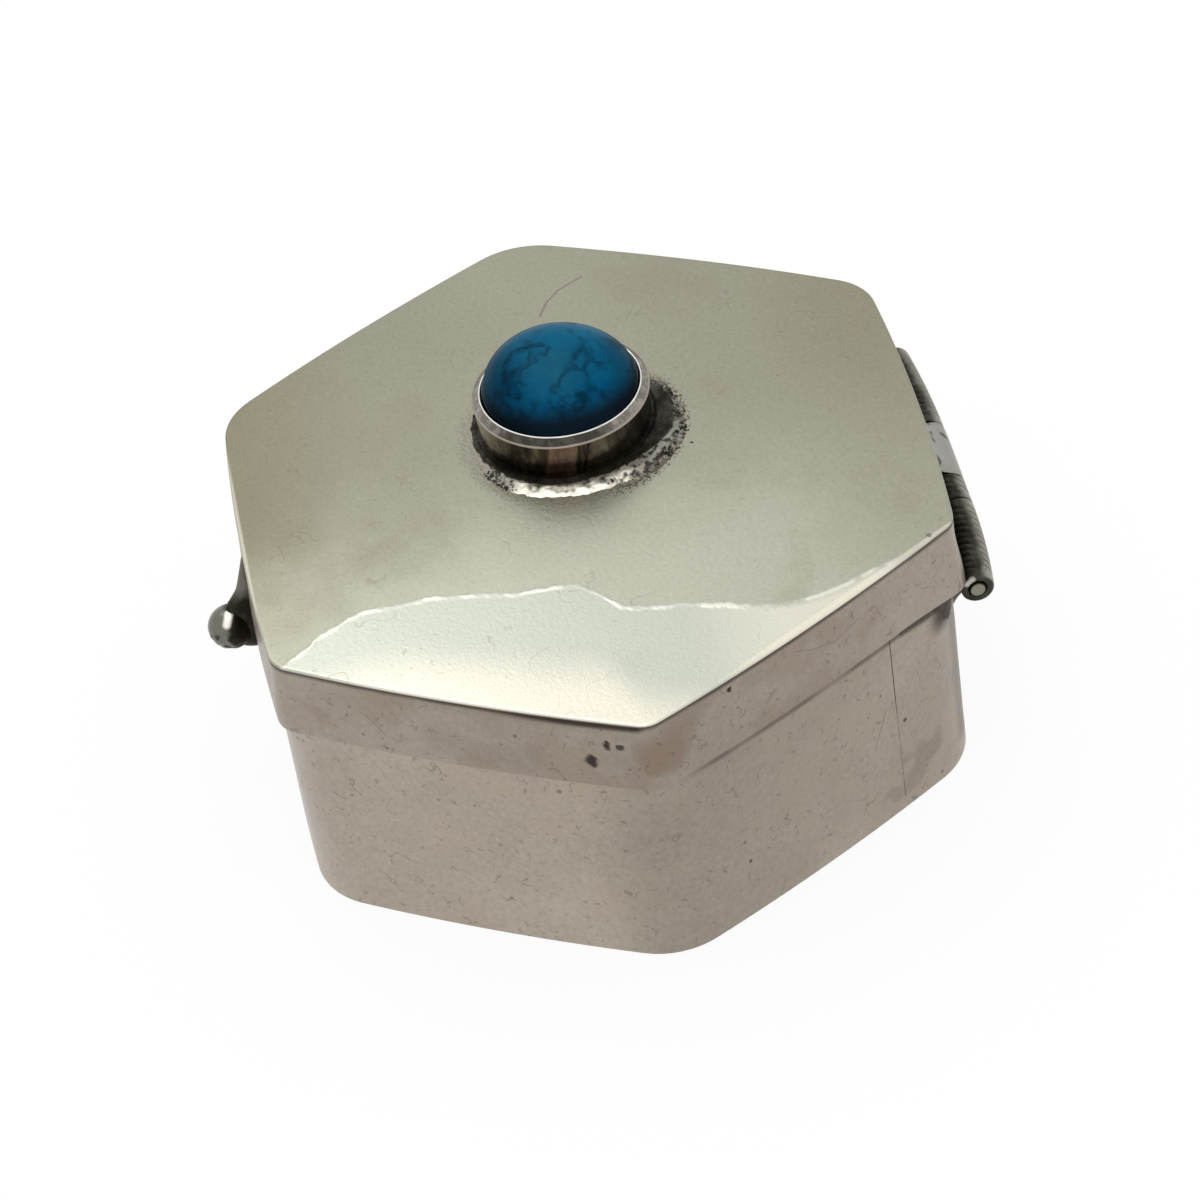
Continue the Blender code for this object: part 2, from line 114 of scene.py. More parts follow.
@dataclass(frozen=True, eq=False)
class Wire:
    """A value in a node tree, on which sums are written as in plain Python."""

    tree: Tree
    socket: Socket

    def made(self, kind: str, inputs: Inputs, output: int | str = 0, **settings: object) -> "Wire":
        """An output of a node that is added to this wire's tree, as add does."""
        return Wire(self.tree, add(self.tree, kind, inputs, **settings).outputs[output])

    def math(self, operation: str, *others: Value, clamp: bool = False) -> "Wire":
        """A Math node on this number and others, whose result may be clamped between 0 and 1."""
        inputs = dict(enumerate((self, *others)))
        return self.made("ShaderNodeMath", inputs, operation=operation, use_clamp=clamp)

    def _pair(self, operation: str, first: object, second: object) -> "Wire":
        """A sum of two values, which are vectors where this wire is one."""
        kind = "ShaderNodeMath" if self.socket.type == "VALUE" else "ShaderNodeVectorMath"
        return self.made(kind, {0: first, 1: second}, operation=operation)

    def __add__(self, other: object) -> "Wire":
        """The sum."""
        return self._pair("ADD", self, other)

    def __sub__(self, other: object) -> "Wire":
        """The difference."""
        return self._pair("SUBTRACT", self, other)

    def __rsub__(self, other: float) -> "Wire":
        """A number less this one."""
        return self._pair("SUBTRACT", other, self)

    def __mul__(self, other: object) -> "Wire":
        """The product, part by part for vectors."""
        return self._pair("MULTIPLY", self, other)

    def __truediv__(self, other: Value) -> "Wire":
        """The quotient."""
        return self._pair("DIVIDE", self, other)

    def __rtruediv__(self, other: float) -> "Wire":
        """A number over this one."""
        return self._pair("DIVIDE", other, self)

    def __abs__(self) -> "Wire":
        """The number without its sign."""
        return self.math("ABSOLUTE")

    def fit(self, factor: Value, offset: Value, clamp: bool = False) -> "Wire":
        """This number times a factor, plus an offset."""
        return self.math("MULTIPLY_ADD", factor, offset, clamp=clamp)

    def most(self, other: Value) -> "Wire":
        """The larger one."""
        return self.math("MAXIMUM", other)

    def measured(self, operation: str, *others: object) -> "Wire":
        """A number taken from vectors, such as LENGTH, DISTANCE or DOT_PRODUCT."""
        inputs = dict(enumerate((self, *others)))
        return self.made("ShaderNodeVectorMath", inputs, "Value", operation=operation)

    def scaled(self, factor: Value) -> "Wire":
        """This vector or colour times a number."""
        return self.made("ShaderNodeVectorMath", {0: self, "Scale": factor}, operation="SCALE")

    def split(self) -> list["Wire"]:
        """The three parts of this vector or colour."""
        return [Wire(self.tree, part) for part in add(self.tree, "ShaderNodeSeparateXYZ", {0: self}).outputs]

    def joined(self, y: Value, z: Value) -> "Wire":
        """A vector of this number and two more."""
        return self.made("ShaderNodeCombineXYZ", {0: self, 1: y, 2: z})

    def noise(self, scale: Value, detail: float = 3.0, roughness: float = 0.5) -> "Wire":
        """Soft noise round 0.5: its waves to a unit, its finer layers and their strength."""
        inputs = {"Vector": self, "Scale": scale, "Detail": detail, "Roughness": roughness}
        return self.made("ShaderNodeTexNoise", inputs)

    def warped(self, scale: Value, strength: Value) -> "Wire":
        """This vector pushed about by noise, of so many waves to a unit and this strength."""
        push = self.made("ShaderNodeTexNoise", {"Vector": self, "Scale": scale, "Detail": 2.0}, 1)
        return self + (push - (0.5, 0.5, 0.5)).scaled(strength)

    def step(self, low: Value, high: Value, start: Value = 0.0, end: Value = 1.0) -> "Wire":
        """A smooth step: start where this number is at low or before, end where it is at high."""
        inputs = {0: self, 1: low, 2: high, 3: start, 4: end}
        return self.made("ShaderNodeMapRange", inputs, interpolation_type="SMOOTHSTEP")

    def stroke(self, start: Place, end: Place, width: float) -> "Wire":
        """A soft line between two places, read at this place.

        Args:
            start: The line's start.
            end: Its end.
            width: How far from the line its mask falls to 0.

        Returns:
            The mask, 1 on the line.
        """
        way = tuple(last - first for first, last in zip(start, end))
        away = self - start
        squared = sum(part * part for part in way)
        share = away.measured("DOT_PRODUCT", way).math("DIVIDE", squared, clamp=True)
        along = self.made("ShaderNodeVectorMath", {0: way, "Scale": share}, operation="SCALE")
        return (away - along).measured("LENGTH").step(width, 0.3 * width)

    def mix(self, first: object, second: object) -> "Wire":
        """A colour between two, this number being the second one's share."""
        pair = [(*colour, 1.0) if isinstance(colour, tuple) else colour for colour in (first, second)]
        return self.made("ShaderNodeMix", {0: self, 6: pair[0], 7: pair[1]}, 2, data_type="RGBA")

    def attribute(self, name: str) -> "Wire":
        """A number that the mesh carries."""
        return self.made("ShaderNodeAttribute", {}, "Fac", attribute_name=name)


class Group:
    """A shader node group, built once and placed in a material by a call."""

    def __init__(self, name: str, vectors: Names, numbers: Names, outputs: Names) -> None:
        """Start the group.

        Args:
            name: Its name.
            vectors: The names of its vector inputs.
            numbers: The names of its number inputs, which come after them.
            outputs: The names of its outputs, all of them numbers.
        """
        self.tree = bpy.data.node_groups.new(name, "ShaderNodeTree")
        sockets = [(label, "INPUT", "Vector") for label in vectors]
        sockets += [(label, "INPUT", "Float") for label in numbers]
        sockets += [(label, "OUTPUT", "Float") for label in outputs]
        for label, side, kind in sockets:
            self.tree.interface.new_socket(label, in_out=side, socket_type="NodeSocket" + kind)
        given = self.tree.nodes.new("NodeGroupInput").outputs
        self.given = [Wire(self.tree, given[label]) for label in (*vectors, *numbers)]

    def ending(self, *results: Wire) -> "Group":
        """Put the results out, in the order of the outputs.

        Args:
            results: The wires.

        Returns:
            The group.
        """
        made = self.tree.nodes.new("NodeGroupOutput")
        for place, result in enumerate(results):
            self.tree.links.new(result.socket, made.inputs[place])
        return self

    def __call__(self, place: Wire, *values: object) -> list[Wire]:
        """Place the group where a material needs it.

        Args:
            place: The place that it reads.
            values: A value or a wire for each further input, in order.

        Returns:
            Its outputs.
        """
        inputs = dict(enumerate((place, *values)))
        node = add(place.tree, "ShaderNodeGroup", inputs, node_tree=self.tree)
        return [Wire(place.tree, output) for output in node.outputs]


# The marks that several finishes share


@cache
def pit_group() -> Group:
    """Small pits scattered at random.

    Returns:
        The group: a mask that is 1 in a pit.
    """
    group = Group("pits", ("Vector",), ("Spacing", "Size", "Share"), ("Mask",))
    vector, spacing, size, share = group.given
    inputs = {"Vector": vector.warped(3.0, 0.25), "Scale": 1.0 / spacing}
    cells = add(group.tree, "ShaderNodeTexVoronoi", inputs).outputs
    pick, breadth, _ = Wire(group.tree, cells["Color"]).split()
    reach = size / spacing * breadth
    spot = Wire(group.tree, cells["Distance"]).step(reach, reach * 0.35)
    return group.ending(spot * pick.math("LESS_THAN", share))


@cache
def hair_group() -> Group:
    """Short fine curved lines, as grit leaves them.

    Returns:
        The group: a mask that is 1 on a line.
    """
    group = Group("hairs", ("Vector",), ("Scale", "Width", "Bound"), ("Mask",))
    vector, scale, width, bound = group.given
    line = abs(vector.noise(scale, 2.0) - 0.5).step(width, width * 0.3)
    part = (vector + (31.0, 17.0, 5.0)).noise(scale * 1.4, 1.0)
    return group.ending(line * part.step(bound, bound + 0.04))


@cache
def mottle_group() -> Group:
    """Uneven tone, broad and fine.

    Returns:
        The group: a tone round 0 and a fine grain round 0.
    """
    group = Group("mottle", ("Vector",), ("Broad", "Fine"), ("Tone", "Grain"))
    vector, broad, fine = group.given
    return group.ending(vector.noise(broad, 4.0, 0.6) - 0.5, vector.noise(fine, 3.0, 0.7) - 0.5)


@cache
def stain_group() -> Group:
    """One ragged spot at a place.

    Returns:
        The group: a mask that is 1 in the middle of the spot.
    """
    group = Group("stain", ("Vector", "Centre"), ("Radius", "Ragged"), ("Mask",))
    vector, centre, radius, uneven = group.given
    bent = vector.warped(0.9 / radius, radius * uneven * 2.0)
    return group.ending(bent.measured("DISTANCE", centre).step(radius, radius * 0.45))


# Finishes


def start_finish(name: str, constants: dict[str, float]) -> tuple[Material, Wire]:
    """A new material with its constants set on its shader.

    Args:
        name: The material's name.
        constants: A value for each of the shader's sockets that is the same all over.

    Returns:
        The material, and the place on the box in millimetres.
    """
    material = bpy.data.materials.new(name)
    material.use_nodes = True
    for socket, value in constants.items():
        material.node_tree.nodes["Principled BSDF"].inputs[socket].default_value = value
    spot = add(material.node_tree, "ShaderNodeTexCoord").outputs["Object"]
    return material, Wire(material.node_tree, spot).scaled(1.0 / mm)


def dress(material: Material, colour: Wire, rough: Wire, height: Wire) -> Material:
    """Join a material's shader to its colour, roughness and relief.

    Args:
        material: The material.
        colour: The base colour.
        rough: The roughness.
        height: The relief, in millimetres.

    Returns:
        The finished material.
    """
    bump = height.made("ShaderNodeBump", {"Strength": 1.0, "Distance": mm, "Height": height})
    shader = material.node_tree.nodes["Principled BSDF"]
    for socket, wire in (("Base Color", colour), ("Roughness", rough), ("Normal", bump)):
        material.node_tree.links.new(wire.socket, shader.inputs[socket])
    return material


@dataclass(frozen=True)
class Spot:
    """A stain at a measured place, in millimetres."""

    x: float
    y: float
    z: float
    radius: float
    depth: float = 1.0
    ragged: float = 0.5

    def masks(self, place: Wire) -> list[Wire]:
        """The stain's one mask."""
        return stain_group()(place, (self.x, self.y, self.z), self.radius, self.ragged)


@dataclass(frozen=True)
class Stroke:
    """A drawn mark that runs through measured places, in millimetres."""

    points: tuple[Place, ...]
    width: float = 0.07
    depth: float = 0.4

    def masks(self, place: Wire) -> list[Wire]:
        """A mask for each of the mark's stretches."""
        return [place.stroke(first, last, self.width) for first, last in zip(self.points, self.points[1:])]


Marks = tuple[Spot | Stroke, ...]


def marked(place: Wire, soil_and_shade: Value, marks: Marks) -> Wire:
    """Soil and painted shade with marks at measured places added to it.

    Args:
        place: The place in millimetres.
        soil_and_shade: The soil and painted shade so far.
        marks: The spots and strokes.

    Returns:
        All of the soil and painted shade.
    """
    for mark in marks:
        for mask in mark.masks(place):
            soil_and_shade = (mask * mark.depth).most(soil_and_shade)
    return soil_and_shade


@dataclass(frozen=True)
class SatinSilver:
    """Handled silver sheet: brown-grey, pitted in patches and crossed by fine curved lines."""

    name: str
    light: Colour = (0.376, 0.329, 0.274)
    dark: Colour = (0.294, 0.253, 0.210)
    warm: Colour = (0.348, 0.286, 0.228)
    soil_and_shade: Colour = (0.060, 0.046, 0.036)
    roughness: float = 0.36
    # Painted light: how much lighter or darker the thumb-piece's side and the two ends of the hinge's side
    # are painted
    front: float = 1.0
    sides: tuple[float, float] = (0.94, 1.05)
    marks: Marks = ()
    blush: Marks = ()

    def material(self) -> Material:
        """Build the material.

        Returns:
            The finished material.
        """
        material, place = start_finish(self.name, {"Metallic": 1.0})
        blotch, grain = mottle_group()(place, 0.16, 3.4)
        tone = grain.fit(2.3, blotch.fit(2.0, 0.5), clamp=True)
        warmth = (place + (9.0, 2.0, 4.0)).noise(0.22, 3.0, 0.6).step(0.46, 0.64)
        warmth = marked(place, warmth * 0.45, self.blush)
        y = place.split()[1]
        # Painted light: the colour is scaled lighter or darker by side of the box
        side = y.step(-0.5, -4.0, y.step(0.5, 12.0, *self.sides), self.front)
        colour = warmth.mix(tone.mix(self.dark, self.light), self.warm).scaled(side)
        crowd = place.noise(0.3, 2.0).fit(2.2, -1.02, clamp=True)
        holes = pit_group()(place, 0.5, 0.15, crowd)[0].most(pit_group()(place, 2.0, 0.30, crowd)[0])
        lines = hair_group()(place, 0.75, 0.016, 0.60)[0].most(hair_group()(place, 1.7, 0.026, 0.62)[0])
        # The mesh's soil attribute carries painted shade as well as soil
        soil_and_shade = place.attribute("soil_and_shade").most((lines * 0.30).most(holes * 0.48))
        soil_and_shade = marked(place, soil_and_shade, self.marks)
        rough = soil_and_shade.fit(0.22, grain.fit(0.25, self.roughness))
        height = lines.fit(-0.012, holes.fit(-0.03, grain * 0.022))
        return dress(material, soil_and_shade.mix(colour, self.soil_and_shade), rough, height)


@dataclass(frozen=True)
class LidSilver:
    """The lid's polished sheet: olive grey, with a painted reflection over its front and painted highlights
    along its edges.
    """

    name: str
    # The far colour lies at the back and the near one at the front, the change between them a painted
    # reflection; the side colour darkens the left and right
    far: Colour = (0.318, 0.310, 0.238)
    near: Colour = (0.446, 0.450, 0.362)
    side: Colour = (0.262, 0.240, 0.168)
    # The bright and cream colours paint a reflection over the front; the ridge colour and the colour of the
    # edges beside the field are painted highlights
    bright: Colour = (0.538, 0.560, 0.480)
    cream: Colour = (0.77, 0.73, 0.61)
    ridge: Colour = (0.78, 0.77, 0.68)
    wall: Colour = (0.30, 0.255, 0.215)
    edge_highlight: Colour = (0.58, 0.56, 0.47)
    soil_and_shade: Colour = (0.060, 0.048, 0.036)
    roughness: float = 0.30
    # The painted reflection's edge: places along the box and how far forward the bright field starts there
    edge_run: tuple[tuple[float, float], ...] = (
        (-16.2, 9.9), (-15.5, 9.4), (-14.8, 9.0), (-14.1, 8.3), (-13.1, 7.9), (-12.1, 7.35),
        (-10.1, 7.2), (-8.0, 7.4), (-6.3, 7.7), (-4.6, 8.1), (-3.2, 8.35), (-1.8, 8.4),
        (-0.8, 9.2), (0.3, 10.6), (1.9, 11.2), (3.6, 11.6), (5.2, 12.1), (6.9, 12.6),
        (8.6, 12.8), (10.4, 12.55), (12.3, 11.85), (14.2, 11.2), (16.5, 10.1),
    )
    # The edge's curve reaches this far to either side of the box's middle
    reach: float = 20.0
    # Above this height a place is on the lid's top
    top: tuple[float, float] = (15.77, 15.84)
    marks: Marks = ()
    # The solder collar's middle and radius, and where its grit lies thickest in degrees from +X
    collar: tuple[float, float, float] = (-2.95, 0.32, 5.53)
    grit: float = 65.0

    def _field(self, place: Wire) -> Wire:
        """How far forward of the painted reflection's edge a place lies, in millimetres.

        Args:
            place: The place, in millimetres.

        Returns:
            The distance, negative behind the edge.
        """
        calm = place.split()[1].step(7.0, 11.0, 1.0, 0.30)
        x, y, _ = place.warped(0.55, calm * 0.6).warped(2.2, calm * 0.22).split()
        unit = 0.5 / self.reach
        curve = add(place.tree, "ShaderNodeFloatCurve", {"Value": y.fit(unit, 0.5)})
        points = curve.mapping.curves[0].points
        shares = [(0.5 + unit * along, forward / self.reach) for along, forward in self.edge_run]
        points[0].location, points[1].location = (0.0, shares[0][1]), (1.0, shares[-1][1])
        for share in shares:
            points.new(*share)
        curve.mapping.update()
        return Wire(place.tree, curve.outputs[0]).fit(-self.reach, x)

    def _grit(self, place: Wire) -> Wire:
        """The specks of soil that lie beyond the solder collar.

        Args:
            place: The place, in millimetres.

        Returns:
            The specks' mask.
        """
        middle_x, middle_y, radius = self.collar
        x, y, _ = place.split()
        away = x.joined(y, 0.0) - (middle_x, middle_y, 0.0)
        ring = away.measured("LENGTH")
        angle = math.radians(self.grit)
        lean = away.measured("DOT_PRODUCT", (math.cos(angle), math.sin(angle), 0.0)) / ring
        bound = ring.step(radius + 0.85, radius - 0.1, 0.30, 0.56)
        specks = place.noise(5.5, 3.0, 0.75).step(bound, bound - 0.05)
        near = ring.step(radius + 1.0, radius + 0.3)
        return specks * near * lean.step(0.45, 0.80, 0.25, 1.0)

    def material(self) -> Material:
        """Build the material.

        Returns:
            The finished material.
        """
        material, place = start_finish(self.name, {"Metallic": 1.0})
        x, y, z = place.split()
        blotch, grain = mottle_group()(place, 0.11, 4.2)
        # The sheet's olive grey, darker towards the back and the left: the change from back to front is a
        # painted reflection, and the darkening at the left is painted shade
        front = blotch.fit(9.0, x)
        colour = front.step(-5.0, 10.0).mix(self.far, self.near)
        leftness = blotch.fit(8.0, y)
        behind = front.step(8.0, 0.0, 0.25, 1.0)
        left = leftness.step(-8.0, -17.5) * behind
        colour = (left + leftness.step(8.0, 16.0, 0.0, 0.42)).mix(colour, self.side)
        shade = leftness.step(5.0, -10.0, 0.0, 0.20) * behind
        colour = colour.scaled(y.step(-5.0, 9.0, 1.09, 0.96) - shade)
        haze = (place + (3.0, 8.0, 0.0)).noise(0.14, 4.0, 0.6).step(0.50, 0.68)
        colour = (haze * 0.30).mix(colour, self.side).scaled(grain.fit(0.30, 1.0))
        upper = z.step(*self.top)
        # The painted reflection over the polished front, the painted highlight on its slightly raised ridge
        # and the painted highlights on the edges beside it
        inside = self._field(place)
        field_share = inside.step(-0.05, y.step(3.0, 9.0, 0.10, 0.55)) * upper
        warm = (inside + y * -0.22).step(4.6, 8.8).most(y.step(2.5, 8.0, 0.0, 0.62))
        colour = field_share.mix(colour, warm.mix(self.bright, self.cream))
        ridge = inside.step(-0.16, 0.02) * inside.step(0.36, 0.04) * upper
        ridge = ridge * place.noise(0.5, 2.0).step(0.42, 0.56, 0.15, 0.75)
        colour = ridge.mix(colour, self.ridge)
        beyond = place.measured("DOT_PRODUCT", (math.cos(math.pi / 6.0), 0.5, 0.0))
        right = beyond.step(16.62, 16.74) * y.step(3.0, 8.0)
        left = y.step(-16.72, -16.84) * 0.65
        colour = right.most(left).mix(colour, field_share.mix(self.edge_highlight, self.cream))
        # Pits, hairs, grit and the drawn marks
        hairs = hair_group()(place, 0.30, 0.006, 0.56)[0].most(hair_group()(place, 1.3, 0.020, 0.64)[0])
        soil_and_shade = (pit_group()(place, 1.5, 0.16, 0.16)[0] * 0.36).most(hairs * 0.15)
        soil_and_shade = soil_and_shade.most(self._grit(place) * (upper * 0.85))
        soil_and_shade = marked(place, soil_and_shade, self.marks).most(place.attribute("soil_and_shade"))
        colour = soil_and_shade.mix(upper.mix(self.wall, colour), self.soil_and_shade)
        rough = soil_and_shade.fit(0.2, field_share.fit(-0.06, grain.fit(0.12, self.roughness)))
        height = soil_and_shade.fit(-0.012, ridge.fit(0.02, grain * 0.007))
        return dress(material, colour, rough, height)


@dataclass(frozen=True)
class DarkSilver:
    """Tarnished or oxidised silver, black where soil gathers and where shade is painted, worn lighter
    elsewhere, with painted highlights where it is given glints.
    """

    name: str
    clean: Colour = (0.30, 0.285, 0.245)
    soil_and_shade: Colour = (0.022, 0.018, 0.013)
    glint: Colour = (0.95, 0.90, 0.82)
    roughness: float = 0.34
    uneven: float = 0.5
    grit: float = 0.02
    # Marks painted in the glint colour as highlights
    painted_glints: Marks = ()

    def material(self) -> Material:
        """Build the material.

        Returns:
            The finished material.
        """
        material, place = start_finish(self.name, {"Metallic": 1.0})
        blotch, grain = mottle_group()(place, 0.9, 5.0)
        soil_and_shade = blotch.fit(self.uneven, place.attribute("soil_and_shade"))
        soil_and_shade = grain.fit(0.5 * self.uneven, soil_and_shade, clamp=True)
        colour = soil_and_shade.mix(self.clean, self.soil_and_shade)
        if self.painted_glints:
            colour = marked(place, 0.0, self.painted_glints).mix(colour, self.glint)
        return dress(material, colour, soil_and_shade.fit(0.25, self.roughness), grain * self.grit)


@dataclass(frozen=True)
class BezelSilver:
    """The bezel's rim, painted as a highlight, over a dark wall with painted reflections in brown, pink and
    olive patches.
    """

    name: str
    centre: tuple[float, float]
    crest: Colour = (0.86, 0.85, 0.81)
    slope: Colour = (0.052, 0.046, 0.038)
    flank: Colour = (0.36, 0.34, 0.295)
    bead: Colour = (0.36, 0.31, 0.27)
    brown: Colour = (0.070, 0.052, 0.036)
    streak: Colour = (0.30, 0.27, 0.22)
    soil_and_shade: Colour = (0.020, 0.014, 0.009)
    # Each painted reflection patch's start and end, in degrees from the -Y side anticlockwise, and its colour
    patches: tuple[tuple[float, float, Colour], ...] = (
        (-10.0, 14.0, (0.30, 0.265, 0.205)),
        (18.0, 34.0, (0.15, 0.125, 0.090)),
        (36.0, 54.0, (0.075, 0.056, 0.038)),
        (68.5, 70.5, (0.235, 0.130, 0.105)),
        (88.0, 89.5, (0.035, 0.022, 0.014)),
        (96.0, 97.5, (0.22, 0.20, 0.148)),
        (118.0, 124.0, (0.26, 0.24, 0.20)),
        (134.0, 140.0, (0.12, 0.105, 0.085)),
        (158.0, 168.0, (0.26, 0.25, 0.20)),
    )

    def material(self) -> Material:
        """Build the material.

        Returns:
            The finished material.
        """
        material, place = start_finish(self.name, {"Metallic": 1.0})
        bent = place.warped(0.9, 0.30)
        x, y, _ = (bent - (*self.centre, 0.0)).split()
        z = place.warped(1.4, 0.03).split()[2]
        angle = (z - 17.0).fit(-3.0, x.math("ARCTAN2", y * -1.0) * (180.0 / math.pi))
        blotch, grain = mottle_group()(place, 0.8, 4.0)
        # Painted reflections: the wall's patches by angle round the bezel
        colour = self.brown
        for first, last, tint in self.patches:
            colour = angle.step(first, last).mix(colour, tint)
        colour = (blotch.fit(2.0, 0.10, clamp=True) * 0.7).mix(colour, self.brown)
        # Painted reflections: vertical streaks round the wall
        streaks = (bent * (1.0, 1.0, 0.12)).noise(2.6, 3.0, 0.6).step(0.42, 0.66)
        colour = (streaks * 0.45).mix(colour, self.streak)
        # The slope between wall and rim is a painted reflection: dark in front and silvery at both sides
        open_side = angle.step(46.0, 16.0).most(angle.step(98.0, 122.0))
        slope = streaks.fit(0.12, open_side * streaks.fit(0.35, 0.40), clamp=True).mix(self.slope, self.flank)
        colour = z.step(17.96, 18.02).mix(colour, slope)
        # Painted highlights: the bead below the rim and the rim's crest
        bead = z.step(17.86, 17.93) * z.step(18.02, 17.98)
        colour = (bead * 0.85).mix(colour, self.bead)
        colour = z.step(18.29, 18.32).mix(colour, self.crest)
        soil_and_shade = place.attribute("soil_and_shade")
        rough = soil_and_shade.fit(0.3, grain.fit(0.2, 0.19))
        return dress(material, soil_and_shade.mix(colour, self.soil_and_shade), rough, grain * 0.008)


@dataclass(frozen=True)
class BlueStone:
    """Deep blue stone with drawn black veins and dark blots, a paler cloud in its middle painted as a soft
    reflection, and painted shade low down, towards its back and at its sides.
    """

    name: str
    centre: tuple[float, float]
    # Painted shade: the colour that the stone darkens to low down
    rim: Colour = (0.004, 0.008, 0.014)
    body: Colour = (0.0004, 0.071, 0.157)
    light: Colour = (0.0008, 0.114, 0.208)
    cloud: Colour = (0.014, 0.104, 0.158)
    vein: Colour = (0.0006, 0.009, 0.020)
    marks: Marks = (
        Stroke(((-3.59, -2.32, 20.28), (-4.32, -1.85, 20.47),
                (-4.22, -1.07, 20.69), (-4.19, -0.47, 20.77)), 0.30, 0.62),
        Stroke(((-4.19, -0.47, 20.77), (-3.81, -0.07, 20.80),
                (-3.24, -0.30, 20.77), (-3.64, -0.78, 20.74)), 0.22, 0.55),
        Stroke(((-3.64, -0.78, 20.74), (-3.02, -0.93, 20.68),
                (-2.96, -1.82, 20.44), (-3.02, -2.34, 20.21)), 0.24, 0.38),
        Stroke(((-3.59, -2.32, 20.28), (-2.84, -2.38, 20.15),
                (-2.33, -2.59, 19.85), (-1.72, -2.10, 19.89)), 0.45, 0.55),
        Stroke(((-4.27, 1.64, 20.63), (-3.45, 1.45, 20.68), (-2.68, 0.93, 20.67)), 0.30, 0.50),
        Stroke(((-3.73, 1.54, 20.67), (-2.96, 1.73, 20.57), (-2.2, 2.2, 20.2)), 0.30, 0.45),
        Stroke(((-1.06, 1.39, 19.93), (-0.96, 1.94, 19.61), (-0.7, 2.3, 19.3)), 0.36, 0.45),
        Spot(-2.76, -2.42, 20.11, 0.75, 0.55, 0.8),
        Spot(-0.45, -0.27, 19.58, 0.80, 0.60, 0.9),
        Spot(-0.49, 0.79, 19.58, 0.70, 0.62, 0.9),
        Spot(-1.06, 1.39, 19.93, 0.60, 0.42, 0.9),
        Spot(-1.30, -0.30, 20.20, 0.45, 0.38, 0.9),
        Spot(-4.30, 3.20, 19.85, 0.75, 0.45, 0.9),
    )

    def material(self) -> Material:
        """Build the material.

        Returns:
            The finished material.
        """
        constants = {"Metallic": 0.0, "Specular IOR Level": 0.02, "Coat Weight": 0.0}
        material, place = start_finish(self.name, constants)
        x, y, z = place.split()
        blotch, grain = mottle_group()(place, 0.42, 2.2)
        # The blue, with its pale cloud painted as a soft reflection
        tone = grain.fit(0.6, (self.centre[0] - x).fit(0.16, blotch.fit(2.6, 0.45)), clamp=True)
        heart = (self.centre[0] + 1.3, self.centre[1] - 0.2, 20.4)
        middle = place.warped(0.6, 1.4).measured("DISTANCE", heart)
        cloud = middle.step(2.5, 0.3) * place.noise(1.1, 3.0, 0.6)
        colour = cloud.math("MULTIPLY", 1.25, clamp=True).mix(tone.mix(self.body, self.light), self.cloud)
        # The fine veins and blots, and the drawn ones over them
        cells = {"Vector": place.warped(0.5, 1.5).warped(1.6, 0.35), "Scale": 0.5}
        edges = place.made("ShaderNodeTexVoronoi", cells, "Distance", feature="DISTANCE_TO_EDGE")
        vein = edges.step(0.075, 0.02) * place.noise(0.55, 2.0).step(0.47, 0.60)
        blot = (place + (7.0, 3.0, 1.0)).noise(0.8, 4.0, 0.62).step(0.56, 0.70)
        patchy = place.noise(1.9, 3.0, 0.7).step(0.36, 0.60, 0.30, 1.15)
        drawn = marked(place.warped(1.1, 0.45).warped(4.0, 0.20), 0.0, self.marks) * patchy
        veins = (vein * 0.45).most(blot * 0.45).most(drawn)
        colour = veins.mix(colour, self.vein)
        # Painted shade: the stone darkens low down, towards its back and to either side of its middle
        low = (x - self.centre[0]).fit(-0.19, z)
        colour = low.step(19.3, 18.1, 0.0, 0.96).mix(colour, self.rim)
        colour = colour.scaled(abs(y - (self.centre[1] + 0.25)).step(1.2, 4.0, 1.0, 0.35))
        colour = colour.scaled(x.step(self.centre[0] - 0.5, self.centre[0] - 3.5, 1.0, 0.55))
        return dress(material, colour, veins.fit(0.12, 0.26), veins.fit(-0.006, grain * 0.004))


# Meshes


def wave(point: Sequence[float], length: float, seed: float) -> float:
    """Smooth noise from -1 to 1 at a point, of this wavelength, the seed saying which noise."""
    return noise.noise(Vector(point) / length + Vector((seed, 2.0 * seed, -seed)))


def waves(points: Array, length: float, seed: float) -> Array:
    """Smooth noise from -1 to 1 at each point of an array whose last axis is X, Y, Z."""
    flat = points.reshape(-1, 3)
    return np.array([wave(point, length, seed) for point in flat]).reshape(points.shape[:-1])


# The box reaches this much further towards its hinge than a regular hexagon would
hinge_side_scale = 1.0 + 0.3 / 17.0


def smooth(value: Array, low: float, high: float) -> Array:
    """A smooth step from 0 at low to 1 at high."""
    share = np.clip((value - low) / (high - low), 0.0, 1.0)
    return share * share * (3.0 - 2.0 * share)


def link(name: str, data: bpy.types.ID) -> Piece:
    """A new object in the scene.

    Args:
        name: Its name.
        data: Its mesh, camera or lamp.

    Returns:
        The object.
    """
    obj = bpy.data.objects.new(name, data)
    bpy.context.scene.collection.objects.link(obj)
    return obj


def in_mm(points: Array) -> list[Array]:
    """The X, Y and Z of an array of places, in millimetres."""
    return [points[..., axis] / mm for axis in range(3)]


def ragged(points: Array, length: float, seed: float) -> Array:
    """Smooth noise from 0 to 1 at each point."""
    return 0.5 + 0.5 * waves(points, length, seed)


